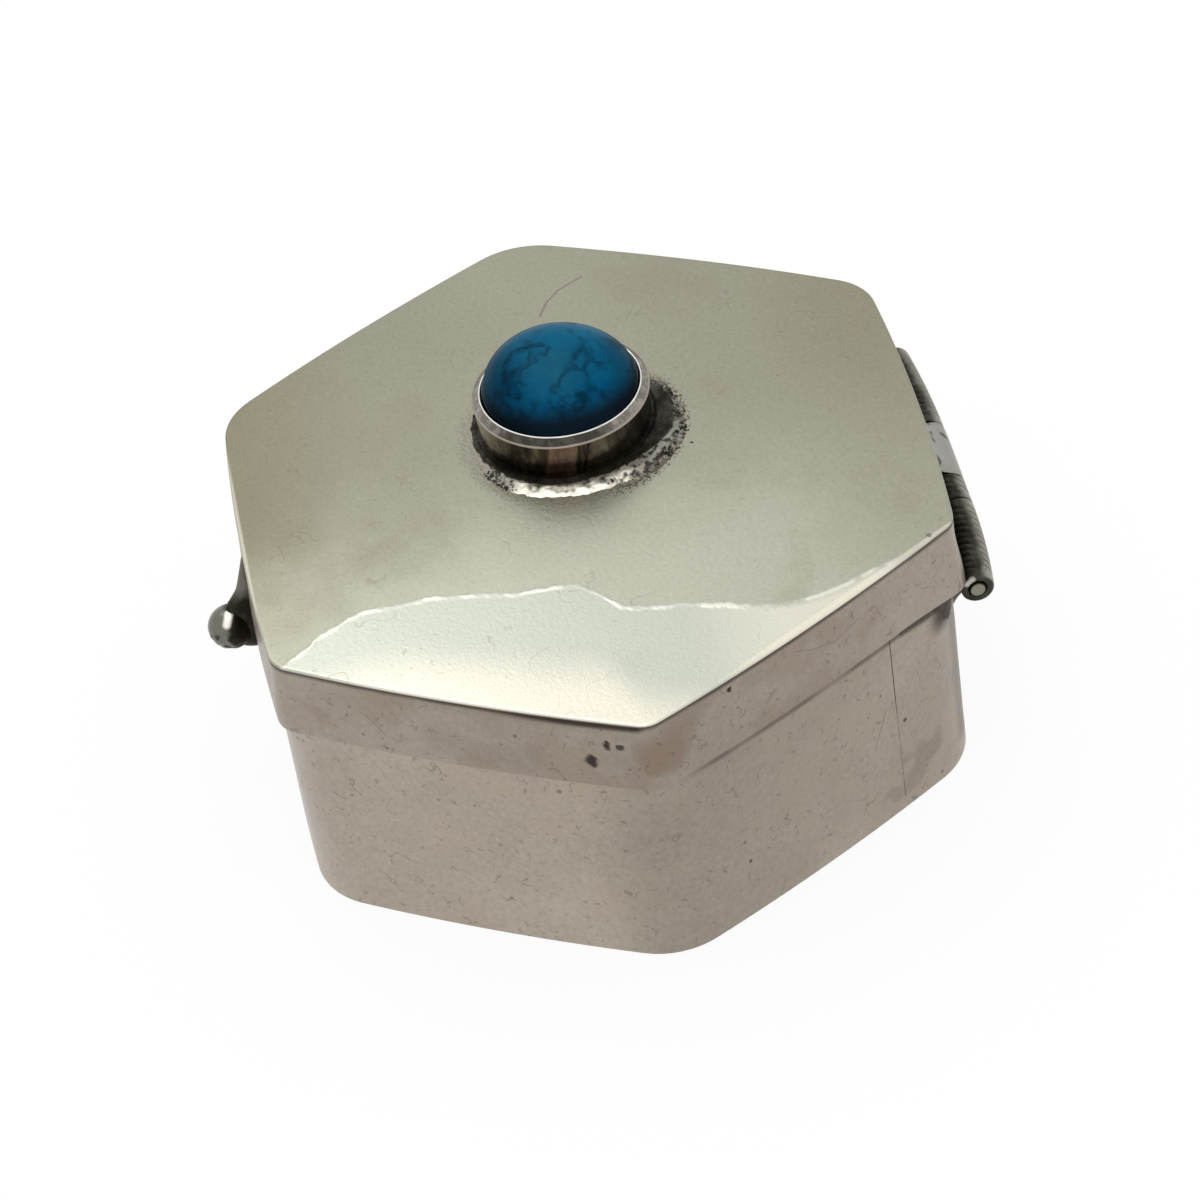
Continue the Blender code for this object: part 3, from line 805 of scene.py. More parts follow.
class Draft:
    """Points and faces of one piece, gathered before they become its mesh."""

    def __init__(self) -> None:
        """Start empty."""
        self.points: list[Array] = []
        self.soil_and_shade: list[Array] = []
        self.faces: list[tuple[int, ...]] = []
        self.count = 0

    def grid(self, points: Array, close_rows: bool, close_columns: bool, soil_and_shade: Array | None = None) -> Array:
        """Add a net of four-sided faces.

        Args:
            points: The places, rows by columns by 3; a face looks towards row times column.
            close_rows: Whether the last row joins the first.
            close_columns: Whether the last column joins the first.
            soil_and_shade: How much soil and painted shade lies at each point, from 0 to 1.

        Returns:
            The points' numbers, rows by columns.
        """
        rows, columns = points.shape[:2]
        index = np.arange(rows * columns).reshape(rows, columns) + self.count
        self.points.append(points.reshape(-1, 3))
        self.soil_and_shade.append(np.zeros(rows * columns) if soil_and_shade is None else soil_and_shade.reshape(-1))
        self.count += rows * columns
        wide = np.vstack([index, index[:1]]) if close_rows else index
        wide = np.hstack([wide, wide[:, :1]]) if close_columns else wide
        corners = (wide[:-1, :-1], wide[1:, :-1], wide[1:, 1:], wide[:-1, 1:])
        self.faces += [tuple(face) for face in np.stack(corners, -1).reshape(-1, 4).tolist()]
        return index

    def pole(self, ring: Array, point: Sequence[float], soil_and_shade: float = 0.0, reverse: bool = False) -> None:
        """Close a ring with a fan.

        Args:
            ring: The ring's point numbers, anticlockwise seen from outside.
            point: The fan's middle.
            soil_and_shade: How much soil and painted shade lies there.
            reverse: Whether the ring runs the other way round.
        """
        self.points.append(np.array([point], float))
        self.soil_and_shade.append(np.array([soil_and_shade]))
        loop = ring[::-1] if reverse else ring
        for first, second in zip(loop, np.roll(loop, -1)):
            self.faces.append((int(first), int(second), self.count))
        self.count += 1

    def lid_on(self, ring: Array, reverse: bool = False) -> None:
        """Close a ring with one flat face."""
        loop = ring[::-1] if reverse else ring
        self.faces.append(tuple(int(index) for index in loop))

    def loft(self, points: Array, soil_and_shade: Array) -> None:
        """Add a net whose columns close, with a fan at each end.

        Args:
            points: The places, ring by ring.
            soil_and_shade: The soil and painted shade at each.
        """
        index = self.grid(points, False, True, soil_and_shade)
        self.pole(index[0], points[0].mean(0))
        self.pole(index[-1], points[-1].mean(0), reverse=True)

    def bend(self, shape: Skin) -> None:
        """Move every point as shape says."""
        self.points = [shape(points) for points in self.points]

    def smear(self, soil_and_shade: Skin) -> None:
        """Lay soil and painted shade on every point as soil_and_shade says."""
        self.soil_and_shade = [np.clip(soil_and_shade(points), 0.0, 1.0) for points in self.points]

    def piece(self, name: str, material: Material, sharp: float = 40.0) -> Piece:
        """Make the piece.

        Args:
            name: Its name.
            material: Its finish.
            sharp: The angle in degrees past which an edge isn't smoothed.

        Returns:
            The new object, at the origin.
        """
        mesh = bpy.data.meshes.new(name)
        mesh.from_pydata(np.vstack(self.points).tolist(), [], self.faces)
        mesh.attributes.new("soil_and_shade", "FLOAT", "POINT").data.foreach_set("value", np.concatenate(self.soil_and_shade))
        mesh.shade_smooth()
        mesh.set_sharp_from_angle(angle=math.radians(sharp))
        mesh.materials.append(material)
        mesh.validate()
        return link(name, mesh)


def settle(obj: Piece, body: Body, nodes: Sequence[str] = ()) -> Piece:
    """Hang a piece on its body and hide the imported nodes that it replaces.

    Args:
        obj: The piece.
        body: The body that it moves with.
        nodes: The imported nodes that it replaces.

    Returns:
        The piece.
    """
    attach(obj, body.value)
    if nodes:
        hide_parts(*nodes)
    log.info("%s: %d faces on %s", obj.name, len(obj.data.polygons), body.value)
    return obj


@dataclass(frozen=True)
class Run:
    """Points along an outline, each on an arc, so that the outline can be moved inwards."""

    centres: Array
    radii: Array
    angles: Array

    def normals(self) -> Array:
        """The outward direction at each point."""
        return np.stack([np.cos(self.angles), np.sin(self.angles)], -1)

    def at(self, inset: Array | float) -> Array:
        """The points moved inwards, by one inset or by one for each point.

        Args:
            inset: The inset.

        Returns:
            The points.
        """
        reach = self.radii - inset
        points = self.centres + self.normals() * np.asarray(reach)[..., None]
        points[..., 1] *= np.where(points[..., 1] > 0.0, hinge_side_scale, 1.0)
        return points


@dataclass(frozen=True)
class HexagonOutline:
    """A hexagon with round corners and slightly bowed sides, as the solids have."""

    flat: float
    corner_radii: tuple[float, ...]
    bow_radius: float = 120.0 * mm
    step: float = 0.28 * mm
    corner_steps: int = 12

    def inset(self, amount: float) -> "HexagonOutline":
        """The same outline moved inwards."""
        radii = tuple(radius - amount for radius in self.corner_radii)
        return HexagonOutline(self.flat - amount, radii, self.bow_radius - amount, self.step)

    def _arcs(self) -> list[tuple[Array, float, float, float]]:
        """Work the corners and sides out.

        Returns:
            Each corner's and side's arc: centre, radius, start and end angle.
        """
        turn = math.pi / 3.0
        reach = self.bow_radius - self.flat
        corners = []
        for radius in self.corner_radii:
            arm = self.bow_radius - radius
            along = reach * math.cos(0.5 * turn)
            out = math.sqrt(arm**2 - reach**2 + along**2) - along
            corners.append((out, math.asin(out * math.sin(0.5 * turn) / arm)))
        arcs = []
        for index, radius in enumerate(self.corner_radii):
            out, lean = corners[index]
            next_lean = corners[(index + 1) % len(corners)][1]
            at_corner = index * turn
            at_side = at_corner + 0.5 * turn
            swing = 0.5 * turn - lean
            corner = out * np.array([math.cos(at_corner), math.sin(at_corner)])
            side = -reach * np.array([math.cos(at_side), math.sin(at_side)])
            arcs.append((corner, radius, at_corner - swing, at_corner + swing))
            arcs.append((side, self.bow_radius, at_side - lean, at_side + next_lean))
        return arcs

    def _trace(self, arcs: list[tuple[Array, float, float, float]], open_end: bool) -> Run:
        """Points along arcs.

        Args:
            arcs: The arcs in order.
            open_end: Whether the last arc's own end is a point too.

        Returns:
            The run of points.
        """
        rows = []
        for centre, radius, start, end in arcs:
            least = self.corner_steps if radius < self.flat else 1
            steps = max(int(math.ceil(radius * (end - start) / self.step)), least)
            rows += [(*centre, radius, start + (end - start) * (index / steps)) for index in range(steps)]
        if open_end:
            centre, radius, _, end = arcs[-1]
            rows.append((*centre, radius, end))
        table = np.array(rows)
        return Run(table[:, :2], table[:, 2], table[:, 3])

    def closed(self) -> Run:
        """Points all the way round, from the +X corner anticlockwise."""
        return self._trace(self._arcs(), False)

    def opened(self, side: int, offset: float, gap: float) -> Run:
        """Points from just past a butt joint round to just before it.

        Args:
            side: The side that has the joint, counted from the +X corner.
            offset: How far the joint lies past the side's middle.
            gap: The joint's width.

        Returns:
            The run of points.
        """
        arcs = self._arcs()
        index = 2 * side + 1
        centre, radius, start, end = arcs[index]
        middle = (side + 0.5) * math.pi / 3.0
        before = middle + (offset - 0.5 * gap) / radius
        after = middle + (offset + 0.5 * gap) / radius
        first = (centre, radius, after, end)
        last = (centre, radius, start, before)
        return self._trace([first, *arcs[index + 1 :], *arcs[:index], last], True)

    def between(self, side: int, offset: float, gap: float) -> Run:
        """The few points that lie in a butt joint, as opened leaves it.

        Args:
            side: The side that has the joint.
            offset: How far it lies past the side's middle.
            gap: Its width.

        Returns:
            The run of points.
        """
        centre, radius, _, _ = self._arcs()[2 * side + 1]
        middle = (side + 0.5) * math.pi / 3.0 + offset / radius
        half = 0.5 * gap / radius
        angles = np.linspace(middle - half, middle + half, 5)
        return Run(np.array([centre] * 5), np.full(5, radius), angles)


@dataclass(frozen=True)
class BentStrip:
    """A strip of sheet bent round an outline, with softened edges and a handmade surface."""

    low: float
    high: float
    thickness: float = 0.7 * mm
    lower_edge: float = 0.10 * mm
    upper_edge: float = 0.10 * mm
    recess: float = 0.0
    rows: int = 36
    dent: float = 0.035 * mm
    dent_length: float = 6.0 * mm
    fade_low: float = 0.0
    fade_high: float = 0.0
    seed: float = 1.0

    def _section(self) -> Array:
        """The closed section.

        Returns:
            Each point's inset, height and share of the dents.
        """
        lower, upper = self.lower_edge, self.upper_edge
        foot, head = self.low + lower, self.high - upper
        outer, inner = self.recess, self.recess + self.thickness
        quarter = [(math.cos(turn), math.sin(turn)) for turn in np.radians([22.5, 45.0, 67.5, 90.0])]
        points = [(outer, height, 1.0) for height in np.linspace(foot, head, self.rows)]
        points += [(outer + upper * (1.0 - c), head + upper * s, 0.8) for c, s in quarter]
        points += [(inner - upper * (1.0 - s), head + upper * c, 0.2) for c, s in quarter]
        points += [(inner, height, 0.0) for height in np.linspace(head, foot, 9)[1:]]
        points += [(inner - lower * (1.0 - c), foot - lower * s, 0.2) for c, s in quarter]
        points += [(outer + lower * (1.0 - s), foot - lower * c, 0.8) for c, s in quarter[:-1]]
        return np.array(points)

    def draft(self, run: Run, closed: bool, soil_and_shade: Skin | None = None) -> Draft:
        """Sweep the section along a run.

        Args:
            run: The outline's points.
            closed: Whether the strip meets itself.
            soil_and_shade: Gives the soil and painted shade at an array of places.

        Returns:
            The strip's draft.
        """
        section = self._section()
        points = np.zeros((len(run.radii), len(section), 3))
        for column, (inset, height, _) in enumerate(section):
            points[:, column, :2] = run.at(inset)
            points[:, column, 2] = height
        dents = ragged(points, self.dent_length, self.seed)
        dents += 0.18 * waves(points, 0.3 * self.dent_length, self.seed + 5.0)
        share = section[:, 2].copy()
        if self.fade_low:
            share *= smooth(section[:, 1], self.low, self.low + self.fade_low)
        if self.fade_high:
            share *= smooth(section[:, 1], self.high, self.high - self.fade_high)
        push = self.dent * np.clip(dents, 0.0, 1.2) * share
        points[:, :, :2] -= run.normals()[:, None, :] * push[..., None]
        draft = Draft()
        index = draft.grid(points, closed, True, soil_and_shade(points) if soil_and_shade else None)
        if not closed:
            draft.lid_on(index[0])
            draft.lid_on(index[-1], reverse=True)
        return draft


def seam(
    outline: HexagonOutline, joint: Joint, span: tuple[float, float], soil_and_shade: Skin | None = None, **sizes: float
) -> Draft:
    """The solder that fills a wall's butt joint.

    Args:
        outline: The wall's outline.
        joint: Where the joint is.
        span: The seam's lowest and highest place.
        soil_and_shade: Gives the soil and painted shade at an array of places.
        sizes: The strip's further sizes.

    Returns:
        The seam's draft.
    """
    side, offset, gap = joint
    strip = BentStrip(*span, thickness=0.6 * mm, dent=0.02 * mm, dent_length=0.8 * mm, **sizes)
    return strip.draft(outline.between(side, offset, gap + 0.01 * mm), False, soil_and_shade)


@dataclass(frozen=True)
class SheetPlate:
    """A hexagonal sheet, whose edge may be a thinner flange that lies on a wall."""

    low: float
    high: float
    upper_round: float
    lower_round: float
    rows: int = 54
    # Narrower than the tightest corner, so that no ring folds over
    border: float = 1.05 * mm
    # How much higher than the sheet's underside its flange starts, and how wide the flange is
    rabbet: float = 0.0
    flange: float = 0.0

    def _section(self) -> list[tuple[float, float, float]]:
        """From the underside's middle round the edge to the top's middle.

        Returns:
            Each ring's inset, share of the inset ring's size and height.
        """
        def inwards(height: float, rows: int) -> list[tuple[float, float, float]]:
            """The rings between border and middle, shrinking as they go."""
            return [(self.border, 1.0 - row / rows, height) for row in range(1, rows)]

        def rim(height: float, edge: float) -> list[tuple[float, float, float]]:
            """The rings between the rounded edge and the border."""
            return [(edge + (self.border - edge) * share, 1.0, height) for share in (0.15, 0.4, 0.7, 1.0)]

        lower, upper = self.lower_round, self.upper_round
        foot = self.low + self.rabbet
        rings = inwards(self.low, self.rows // 3)[::-1] + rim(self.low, self.flange or lower)[::-1]
        if self.rabbet:
            rings += [(self.flange, 1.0, self.low), (self.flange, 1.0, foot)]
        for angle in np.radians(np.linspace(90.0, 0.0, 7)):
            rings.append((lower - lower * math.cos(angle), 1.0, foot + lower - lower * math.sin(angle)))
        for angle in np.radians(np.linspace(0.0, 90.0, 9)):
            rings.append((upper - upper * math.cos(angle), 1.0, self.high - upper + upper * math.sin(angle)))
        return rings + rim(self.high, upper) + inwards(self.high, self.rows)

    def draft(self, run: Run, sag: Skin, soil_and_shade: Skin | None = None) -> Draft:
        """Lay the rings out.

        Args:
            run: The outline's points.
            sag: Gives how far the top lies under its true height at an array of places.
            soil_and_shade: Gives the soil and painted shade at an array of places.

        Returns:
            The plate's draft.
        """
        section = self._section()
        points = np.zeros((len(run.radii), len(section), 3))
        for column, (inset, share, height) in enumerate(section):
            points[:, column, :2] = run.at(inset) * share
            points[:, column, 2] = height
        foot = self.low + self.rabbet + 0.05 * mm
        share_up = np.clip((points[:, :, 2] - foot) / (self.high - foot), 0.0, 1.0)
        points[:, :, 2] -= sag(points) * share_up
        draft = Draft()
        index = draft.grid(points, True, False, soil_and_shade(points) if soil_and_shade else None)
        draft.pole(index[:, 0], (0.0, 0.0, self.low), reverse=True)
        top = np.array([[[0.0, 0.0, self.high]]])
        draft.pole(index[:, -1], (0.0, 0.0, self.high - float(sag(top)[0, 0])))
        return draft


def turned(profile: Array, centre: Sequence[float], steps: int, soil_and_shade: Array | None = None) -> Draft:
    """Turn a (radius, height) profile about Z.

    Args:
        profile: The points, running up the outer side; a third column, if there, is how far it wobbles.
        centre: The axis's place and the height that the profile starts from.
        steps: How many steps there are round.
        soil_and_shade: The soil and painted shade at each profile point.

    Returns:
        A draft: a ring where the profile is closed, or a solid where it runs from axis to axis.
    """
    solid = profile[0, 0] == 0.0
    ends = [centre[2] + profile[0, 1], centre[2] + profile[-1, 1]]
    dirt = np.zeros(len(profile)) if soil_and_shade is None else soil_and_shade
    if solid:
        profile, dirt = profile[1:-1], dirt[1:-1]
    turns = np.linspace(0.0, 2.0 * math.pi, steps, endpoint=False)
    points = np.zeros((steps, len(profile), 3))
    points[:, :, 0] = centre[0] + np.cos(turns)[:, None] * profile[:, 0]
    points[:, :, 1] = centre[1] + np.sin(turns)[:, None] * profile[:, 0]
    points[:, :, 2] = centre[2] + profile[:, 1]
    if profile.shape[1] == 3:
        ring = points.copy()
        ring[:, :, 2] = centre[2]
        wobble = waves(ring, 3.2 * mm, 3.0) * profile[:, 2]
        points[:, :, 0] += np.cos(turns)[:, None] * wobble
        points[:, :, 1] += np.sin(turns)[:, None] * wobble
    draft = Draft()
    index = draft.grid(points, True, not solid, np.repeat(dirt[None, :], steps, 0))
    if solid:
        draft.pole(index[:, 0], (centre[0], centre[1], ends[0]), reverse=True)
        draft.pole(index[:, -1], (centre[0], centre[1], ends[1]))
    return draft


# Grown pieces


def start_growth(name: str, sockets: dict[str, str]) -> dict[str, Wire]:
    """Start a geometry node tree.

    Args:
        name: The tree's name.
        sockets: Each input's name and kind.

    Returns:
        The tree's inputs by name.
    """
    tree = bpy.data.node_groups.new(name, "GeometryNodeTree")
    for socket, kind in sockets.items():
        tree.interface.new_socket(socket, in_out="INPUT", socket_type="NodeSocket" + kind)
    tree.interface.new_socket("Geometry", in_out="OUTPUT", socket_type="NodeSocketGeometry")
    given = tree.nodes.new("NodeGroupInput")
    return {socket: Wire(tree, given.outputs[socket]) for socket in sockets}


def end_growth(shape: Wire, material: Wire) -> Tree:
    """Smooth a tree's shape, make it real, give it its material and put it out.

    Args:
        shape: The geometry.
        material: The tree's material input.

    Returns:
        The finished tree.
    """
    shape = shape.made("GeometryNodeSetShadeSmooth", {0: shape, "Shade Smooth": True})
    shape = shape.made("GeometryNodeRealizeInstances", {0: shape})
    shape = shape.made("GeometryNodeSetMaterial", {0: shape, "Material": material})
    shape.tree.links.new(shape.socket, shape.tree.nodes.new("NodeGroupOutput").inputs[0])
    return shape.tree


def grow(name: str, tree: Tree, values: dict[str, object], source: bpy.types.Mesh | None = None) -> Piece:
    """Run a geometry node tree and keep its result as a plain mesh.

    Args:
        name: The piece's name.
        tree: The geometry node tree.
        values: The tree's inputs by name.
        source: The mesh that it grows on, if it needs one.

    Returns:
        The new object, at the origin.
    """
    obj = link(name, source or bpy.data.meshes.new(name + "_seed"))
    modifier = obj.modifiers.new("growth", "NODES")
    modifier.node_group = tree
    for item in tree.interface.items_tree:
        if item.in_out == "INPUT" and item.name in values:
            modifier[item.identifier] = values[item.name]
    graph = bpy.context.evaluated_depsgraph_get()
    grown = obj.evaluated_get(graph)
    mesh = bpy.data.meshes.new_from_object(grown, preserve_all_data_layers=True, depsgraph=graph)
    obj.modifiers.remove(modifier)
    mesh.name = name
    obj.data = mesh
    return obj


@dataclass(frozen=True)
class RibbedTube:
    """Hinge tubing with turned ribs, grown round the hinge's axis."""

    radius: float = 0.84 * mm
    bore: float = 0.43 * mm
    length: float = 6.0 * mm
    collar: float = 0.45 * mm
    rib_pitch: float = 0.45 * mm
    # How many ribs further along each rib comes in one turn
    twist: float = 5.0
    rib_depth: float = 0.13 * mm
    # How narrow the grooves between the ribs are
    rib_sharpness: float = 2.6
    end_round: float = 0.11 * mm
    wobble: float = 0.02 * mm
    steps_round: int = 72
    steps_along: int = 236
    # Where the closed section turns its corners, as shares of its steps
    outer_start: float = 0.015
    outer_end: float = 0.955
    bore_start: float = 0.970
    # Past this distance from the middle the hinge follows the bowed wall
    straight: float = 3.0 * mm

    def tree(self) -> Tree:
        """Write the tree that grows one knuckle.

        Returns:
            The geometry node tree.
        """
        lengths = ("Length", "Radius", "Bore", "Collar", "Rib Pitch", "Rib Depth", "End Round", "Wobble")
        numbers = dict.fromkeys((*lengths, "Seed", "Bow"), "Float")
        given = start_growth("ribbed_tube", {"Centre": "Vector", **numbers, "Material": "Material"})
        length, bore, end_round = given["Length"], given["Bore"], given["End Round"]
        counts = {0: 1.0, 1: 1.0, 2: self.steps_round + 1, 3: self.steps_along + 1}
        net = length.made("GeometryNodeMeshGrid", counts)
        across, down, _ = length.made("GeometryNodeInputPosition", {}).split()
        turn = across.fit(2.0 * math.pi, math.pi)
        cosine, sine = turn.math("COSINE"), turn.math("SINE")
        run = down + 0.5

        def ramp(low: float, high: float) -> Wire:
            """How far the run has got from low to high, from 0 to 1."""
            return (run - low).math("DIVIDE", high - low, clamp=True)

        # The net's columns run out along the ribs, over the end and back through the bore
        half = length * 0.5
        there = ramp(self.outer_start, self.outer_end) - ramp(self.bore_start, 1.0)
        along = length * there - half
        outer = ramp(0.0, self.outer_start) - ramp(self.outer_end, self.bore_start)
        from_end = half - abs(along)
        # The ribs, which stop short of the collars
        phase = turn.fit(self.twist / (2.0 * math.pi), (along + half) / given["Rib Pitch"])
        groove = (abs(phase.math("FRACT") - 0.5) * 2.0).math("POWER", self.rib_sharpness)
        groove = groove * (from_end - given["Collar"]).step(0.0, 0.10 * mm)
        slope = 1.0 - from_end.math("DIVIDE", end_round, clamp=True)
        rounding = 1.0 - (1.0 - slope.math("POWER", 2.0)).math("SQRT")
        uneven = along.fit(1.0 / mm, given["Seed"]).joined(sine, cosine).noise(1.1, 3.0, 0.6)
        loss = end_round.fit(rounding, given["Rib Depth"] * groove)
        loss = given["Wobble"].fit(uneven, loss)
        radius = (given["Radius"] - bore - loss).fit(outer, bore)
        place = along.joined(radius * cosine, radius * sine)
        soil_and_shade = (groove.math("POWER", 0.6) * 0.95).most(1.0 - outer)
        # Painted shade with dirt over the side that faces the wall; only the outer side keeps its light
        # colour
        soil_and_shade = soil_and_shade.most(uneven.fit(0.7, cosine).step(1.25, 0.45, 0.25, 0.93))
        soil_and_shade = soil_and_shade.most(from_end.step(0.06 * mm, 0.0, 0.0, 0.88))
        # The soil and painted shade are worked out from the flat net, so they are stored before the net is
        # bent
        stored = {0: net, "Name": "soil_and_shade", "Value": soil_and_shade}
        soiled = net.made("GeometryNodeStoreNamedAttribute", stored, data_type="FLOAT", domain="POINT")
        spot = place + given["Centre"]
        past = (abs(spot.split()[0]) - self.straight).most(0.0)
        bow = past * past * given["Bow"]
        bent = spot - bow.made("ShaderNodeCombineXYZ", {1: bow})
        shaped = net.made("GeometryNodeSetPosition", {0: soiled, "Position": bent})
        closed = net.made("GeometryNodeMergeByDistance", {0: shaped, "Distance": 0.0001 * mm})
        return end_growth(closed, given["Material"])

    def knuckle(self, tree: Tree, name: str, values: dict[str, object]) -> Piece:
        """Grow one knuckle.

        Args:
            tree: The tree that grows it.
            name: The piece's name.
            values: Its centre, length, seed, bow and finish.

        Returns:
            The knuckle.
        """
        shared = {"Radius": self.radius, "Bore": self.bore, "Collar": self.collar, "Wobble": self.wobble}
        shared |= {"Rib Pitch": self.rib_pitch, "Rib Depth": self.rib_depth, "End Round": self.end_round}
        return grow(name, tree, shared | values)


@dataclass(frozen=True)
class SolderCrumbs:
    """Crumbs of solder left on the collar's ragged edge, scattered by a node tree."""

    to_the_metre: float = 5.5e7
    radius: float = 0.085 * mm
    least: float = 0.35
    most: float = 1.0
    flatness: float = 0.6
    seed: int = 11

    def tree(self) -> Tree:
        """Write the tree that scatters the crumbs.

        Returns:
            The geometry node tree.
        """
        numbers = dict.fromkeys(("Density", "Radius", "Least", "Most"), "Float")
        kinds = {"Geometry": "Geometry", **numbers, "Seed": "Int", "Material": "Material"}
        given = start_growth("solder_crumbs", kinds)
        tree, seed = given["Seed"].tree, given["Seed"]
        share = seed.made("GeometryNodeInputNamedAttribute", {"Name": "crumbs"}, data_type="FLOAT")
        sites = {0: given["Geometry"], 4: given["Density"] * share, 6: seed}
        points = add(tree, "GeometryNodeDistributePointsOnFaces", sites).outputs
        crumb = seed.made("GeometryNodeMeshIcoSphere", {0: given["Radius"], 1: 2})
        size = seed.made("FunctionNodeRandomValue", {2: given["Least"], 3: given["Most"], 8: seed}, 1)
        flat = size.joined(size, size * self.flatness)
        spread = {0: Wire(tree, points[0]), 2: crumb, 5: Wire(tree, points[2]), 6: flat}
        return end_growth(seed.made("GeometryNodeInstanceOnPoints", spread), given["Material"])

    def scatter(self, name: str, collar: Piece, material: Material) -> Piece:
        """The crumbs as one piece, scattered where the collar's mesh says that they lie."""
        values = {"Density": self.to_the_metre, "Radius": self.radius, "Least": self.least, "Most": self.most}
        return grow(name, self.tree(), values | {"Seed": self.seed, "Material": material}, collar.data.copy())


# Sub-assemblies

hinge_axis = Vector((0.0, 18.3, 10.8)) * mm


class Finishes:
    """Every finish of the box, made once."""

    def __init__(self) -> None:
        """Make the materials."""
        self.base_wall = self._base_wall().material()
        self.lid_wall = self._lid_wall().material()
        self.sheet = SatinSilver("floor_silver", front=1.18).material()
        light, dark = (0.44, 0.405, 0.35), (0.34, 0.30, 0.255)
        self.inside = SatinSilver("bearer_silver", light=light, dark=dark).material()
        self.lid = self._lid_top().material()
        for name, finish in self._dark_ones().items():
            setattr(self, name, finish.material())
        self.bezel = BezelSilver("bezel_silver", centre=(-3.8, 0.15)).material()
        self.stone = BlueStone("cabochon_stone", centre=(-3.8, 0.15)).material()

    def _base_wall(self) -> SatinSilver:
        """The base's wall, with tarnish and painted shade under the lid's corner by the hinge, the worn
        corner and a few pits.

        Returns:
            The finish.
        """
        marks = (
            # Tarnish and painted shade under the lid's corner by the hinge
            Spot(10.2, 15.8, 11.5, 1.2, 1.0, 1.1),
            Spot(9.7, 16.4, 10.6, 1.3, 1.0, 1.1),
            Spot(9.6, 16.5, 9.7, 0.7, 0.9, 1.1),
            Stroke(((10.2, 15.9, 11.1), (11.6, 13.5, 11.4)), 0.50, 0.85),
            Stroke(((8.8, 16.8, 9.8), (8.8, 16.8, 1.8)), 1.3, 0.34),
            Spot(11.1, 14.3, 2.5, 1.6, 0.20, 1.3),
            Spot(11.6, 13.4, 1.5, 1.3, 0.16, 1.3),
            Spot(12.3, 12.2, 1.2, 1.0, 0.16, 1.3),
            Spot(16.9, 3.7, 12.2, 0.13, 0.7),
            Spot(16.94, 4.11, 3.58, 0.15, 0.8),
            Spot(9.9, -15.7, 2.23, 0.15, 0.8),
            Spot(11.79, 13.17, 5.72, 0.20, 0.8),
            Stroke(((12.40, 12.18, 7.18), (12.87, 11.41, 5.18)), 0.06, 0.35),
        )
        return SatinSilver("base_wall_silver", front=1.18, marks=marks)

    def _lid_wall(self) -> SatinSilver:
        """The lid's wall, with its pits, scratches and one warm patch.

        Returns:
            The finish.
        """
        marks = (
            Spot(18.28, -2.05, 14.35, 0.36, 1.0, 0.9),
            Spot(18.55, -1.40, 14.30, 0.26, 0.9, 0.9),
            Spot(17.85, -2.80, 13.20, 0.42, 1.0, 0.7),
            Spot(17.14, 4.17, 15.20, 0.20),
            Stroke(((14.0, -9.6, 13.2), (15.4, -7.4, 12.6), (16.3, -5.6, 13.0)), 1.2, 0.09),
            Spot(10.40, 15.5, 14.4, 0.22, 0.5),
            Stroke(((15.24, 7.73, 14.93), (14.75, 8.61, 14.36),
                    (14.04, 9.84, 13.90), (13.28, 11.12, 14.30)), 0.06, 0.30),
            Stroke(((15.93, 6.47, 13.44), (16.25, 5.44, 12.59), (16.76, 4.47, 12.16)), 0.16, 0.22),
            Stroke(((12.18, -12.70, 13.91), (12.64, -11.97, 12.79)), 0.06, 0.25),
        )
        blush = (Spot(18.9, 0.7, 13.6, 1.9, 0.9, 0.4), Spot(18.5, 1.4, 14.6, 1.6, 0.7, 0.4))
        light, warm = (0.368, 0.322, 0.272), (0.262, 0.198, 0.150)
        return SatinSilver("lid_wall_silver", light=light, warm=warm, front=1.05, marks=marks, blush=blush)

    def _lid_top(self) -> LidSilver:
        """The lid's sheet, with the curved scratch behind the stone.

        Returns:
            The finish.
        """
        x, y, z, radius = -11.19, 4.21, 15.97, 4.1
        turns = np.radians((-109, -125, -141, -163))
        arc = tuple((x + radius * math.cos(turn), y + radius * math.sin(turn), z) for turn in turns)
        pits = (Spot(10.25, 15.5, 16.0, 0.20, 0.6), Spot(-0.11, 5.90, 16.0, 0.13, 0.9))
        dent = Spot(14.6, 0.5, 16.0, 1.1, 0.03, 0.3)
        return LidSilver("lid_silver", marks=(*pits, Stroke(arc, 0.09, 0.42), dent))

    def _dark_ones(self) -> dict[str, DarkSilver]:
        """The tarnished finishes of the small parts.

        Returns:
            Each finish by the name that its pieces use.
        """
        # Painted highlights: a glint on the near knuckle's end and one on the ball
        curl = (Stroke(((9.1, 17.36, 11.22), (9.1, 17.62, 11.44)), 0.24, 0.55),)
        glint = ((0.28, -18.28, 11.65), (0.53, -18.38, 11.55), (0.73, -18.48, 11.42), (0.80, -18.52, 11.36))
        painted_glints = (Stroke(glint, 0.30, 1.0),)
        black = DarkSilver.soil_and_shade
